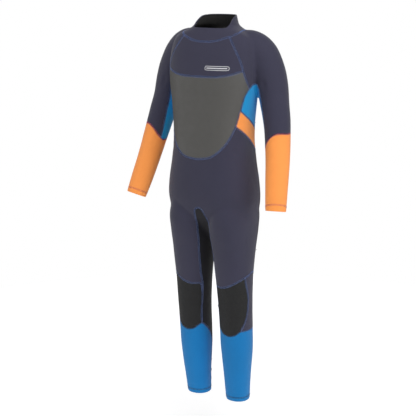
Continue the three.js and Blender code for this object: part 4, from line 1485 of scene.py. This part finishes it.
def zip_slider():
    """A slider with two shield-shaped plates, a wedge, side lips and a bridge for the pull."""
    plates = []
    for name, y in PLATES.items():
        plate = block(name, (-PLATE_HALF, PLATE_HALF), y, (SLIDER_FOOT, SLIDER_HEAD))
        resized(plate, lambda c: c.z < SLIDER_FOOT + 0.01, (PLATE_TAPER, 1, 1))
        softened(plate, 0.5)
        plates.append(plate)
    slider, back_plate = plates
    parts = [block("wedge", *WEDGE)]
    for side in (1, -1):
        lip, ear = (sorted((side * near, side * far)) for near, far in (LIP, EAR))
        parts.append(block("lip", lip, LIP_DEPTH, (SLIDER_FOOT + 0.8, SLIDER_HEAD - 1)))
        ear = block("ear", ear, (1, EAR_TOP), (BRIDGE_Z - EAR_HALF, BRIDGE_Z + EAR_HALF))
        resized(ear, lambda c: c.y > EAR_TOP - 0.01, (1, 1, 0.55))
        softened(ear, 0.3)
        parts.append(ear)
    parts.append(cross_bar("bridge", BRIDGE_RADIUS, 3.5))
    combined(slider, "UNION", back_plate, *parts)
    slider.name = "slider_body"
    onto_back(slider, METAL, "slider", "slider_metal", "zip_slider")


def pull_tab():
    """A moulded pull with a ribbed grip and a hole for a cord, hung on the slider's bridge."""
    low, high = BRIDGE_Y - PULL_HALF_THICK, BRIDGE_Y + PULL_HALF_THICK
    half = PULL_HALF
    pull = block("pull_body", (-half, half), (low, high), (BRIDGE_Z - 2 * PULL_TOP, BRIDGE_Z - PULL_TOP))
    for length, foot_half in PULL_STEPS:
        drawn_down(pull, length, foot_half / half)
        half = foot_half
    softened(pull, 0.4)
    combined(pull, "UNION", cross_bar("eye", EYE_RADIUS, PULL_HALF))
    ribs = []
    for k in range(GRIP_RIBS):
        z = BRIDGE_Z - GRIP_TOP - GRIP_PITCH * k
        rib = block("rib", (-GRIP_HALF, GRIP_HALF), (low - GRIP_OUT, high + GRIP_OUT), (z, z + GRIP_TALL))
        softened(rib, 0.25, 1)
        ribs.append(rib)
    combined(pull, "UNION", *ribs)
    through_pull = (BRIDGE_Y - 3, BRIDGE_Y + 3)
    hole = block("hole", (-1.6, 1.6), through_pull, (BRIDGE_Z - CORD_HOLE[1], BRIDGE_Z - CORD_HOLE[0]))
    softened(hole, 1.2, 4)
    combined(pull, "DIFFERENCE", cross_bar("eye_bore", BORE_RADIUS, 4), hole)
    onto_back(pull, PULL, "puller", "pull_rubber", "pull_tab")


def storm_flap():
    """The flap behind the zip: free on one side, and sewn flat to the inside of the other back panel."""
    profile = []
    for x in np.linspace(-FLAP_HALF, FLAP_HALF, 40):
        rise = float(smoothstep(x, *FLAP_BEND)) * (TAPE_TOP - UNDER_TAPE - FLAP_TOP)
        profile.append((float(x), FLAP_TOP + rise))
    zip_cloth("flap_cloth", profile, FLAP, "storm_flap", FLAP_THICK)


# ---- Camera, light and floor -----------------------------------------------------------------------
CAMERA_TARGET = Vector((-0.0150, -0.0252, -0.4930))
LIGHT_TARGET = Vector((0, 0, -0.45))
# Each light's turn and rise in degrees, its distance, its size and its power.
LIGHTS = {
    "key": (40, 58, 2.6, 1.4, 45),
    "fill": (76, 6, 2.8, 1.5, 24),
    "left": (-60, 4, 2.6, 1.4, 17),
    "back": (-150, 25, 2.6, 2.0, 27),
}
WORLD_LIGHT = 0.22
FLOOR_DROP = 0.2
FLOOR_GREY = (0.93, 0.93, 0.93, 1)
WHITE = (1, 1, 1, 1)


def aimed(data, target, turn, rise, distance):
    """Puts a light or a camera at its distance from the target, turned and raised from the front."""
    turn, rise = math.radians(turn), math.radians(rise)
    way = Vector((math.sin(turn) * math.cos(rise), -math.cos(turn) * math.cos(rise), math.sin(rise)))
    made = bpy.data.objects.new(data.name, data)
    made.location = target + way * distance
    made.rotation_euler = (-way).to_track_quat("-Z", "Y").to_euler()
    bpy.context.scene.collection.objects.link(made)
    return made


def studio():
    """The camera, the lights, the white world and the pale floor."""
    scene = bpy.context.scene
    lens = bpy.data.cameras.new("camera")
    lens.lens, lens.sensor_width = 97.36, 36
    scene.camera = aimed(lens, CAMERA_TARGET, 30, 12.8, 3.0)
    for name, (turn, rise, distance, size, power) in LIGHTS.items():
        lamp = bpy.data.lights.new(name, "AREA")
        lamp.size, lamp.energy = size, power
        aimed(lamp, LIGHT_TARGET, turn, rise, distance)

    scene.world = bpy.data.worlds.new("studio")
    scene.world.use_nodes = True
    tree = scene.world.node_tree
    backdrop = tree.nodes["Background"].inputs
    backdrop["Color"].default_value = WHITE
    seen = node(tree, "ShaderNodeLightPath").outputs["Is Camera Ray"]
    tree.links.new(ramp(tree, seen, 0.0, 1.0, WORLD_LIGHT, 1.0), backdrop["Strength"])
    scene.view_settings.view_transform = "Standard"

    bpy.ops.object.select_all(action="DESELECT")
    bpy.ops.mesh.primitive_circle_add(vertices=96, radius=1.9, fill_type="NGON")
    floor = bpy.context.object
    floor.name = "floor"
    floor.data.transform(Matrix.Translation((0, 0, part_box("lower_leg_left")[0].z - FLOOR_DROP)))
    made = Finish("pale_floor", FLOOR_GREY, Roughness=0.9, Emission_Strength=0.4, Emission_Color=WHITE)
    made.shader["Base Color"].default_value = FLOOR_GREY
    floor.data.materials.append(made.material)


studio()
body, panel_layer, chain_list = sewn_body()
seam_distance = pressed(body, chain_list)
body.normal_update()
stitching(body, chain_list)
cloth_panels(body, panel_layer, seam_distance)
outer_skin = BVHTree.FromBMesh(body)
badge(outer_skin)
nape_closure(outer_skin)
labels(outer_skin)
zip_stitching(outer_skin)
for zip_hand, zip_side in HANDS:
    zip_teeth(zip_hand, zip_side)
zip_tapes_and_stops()
zip_slider()
pull_tab()
storm_flap()
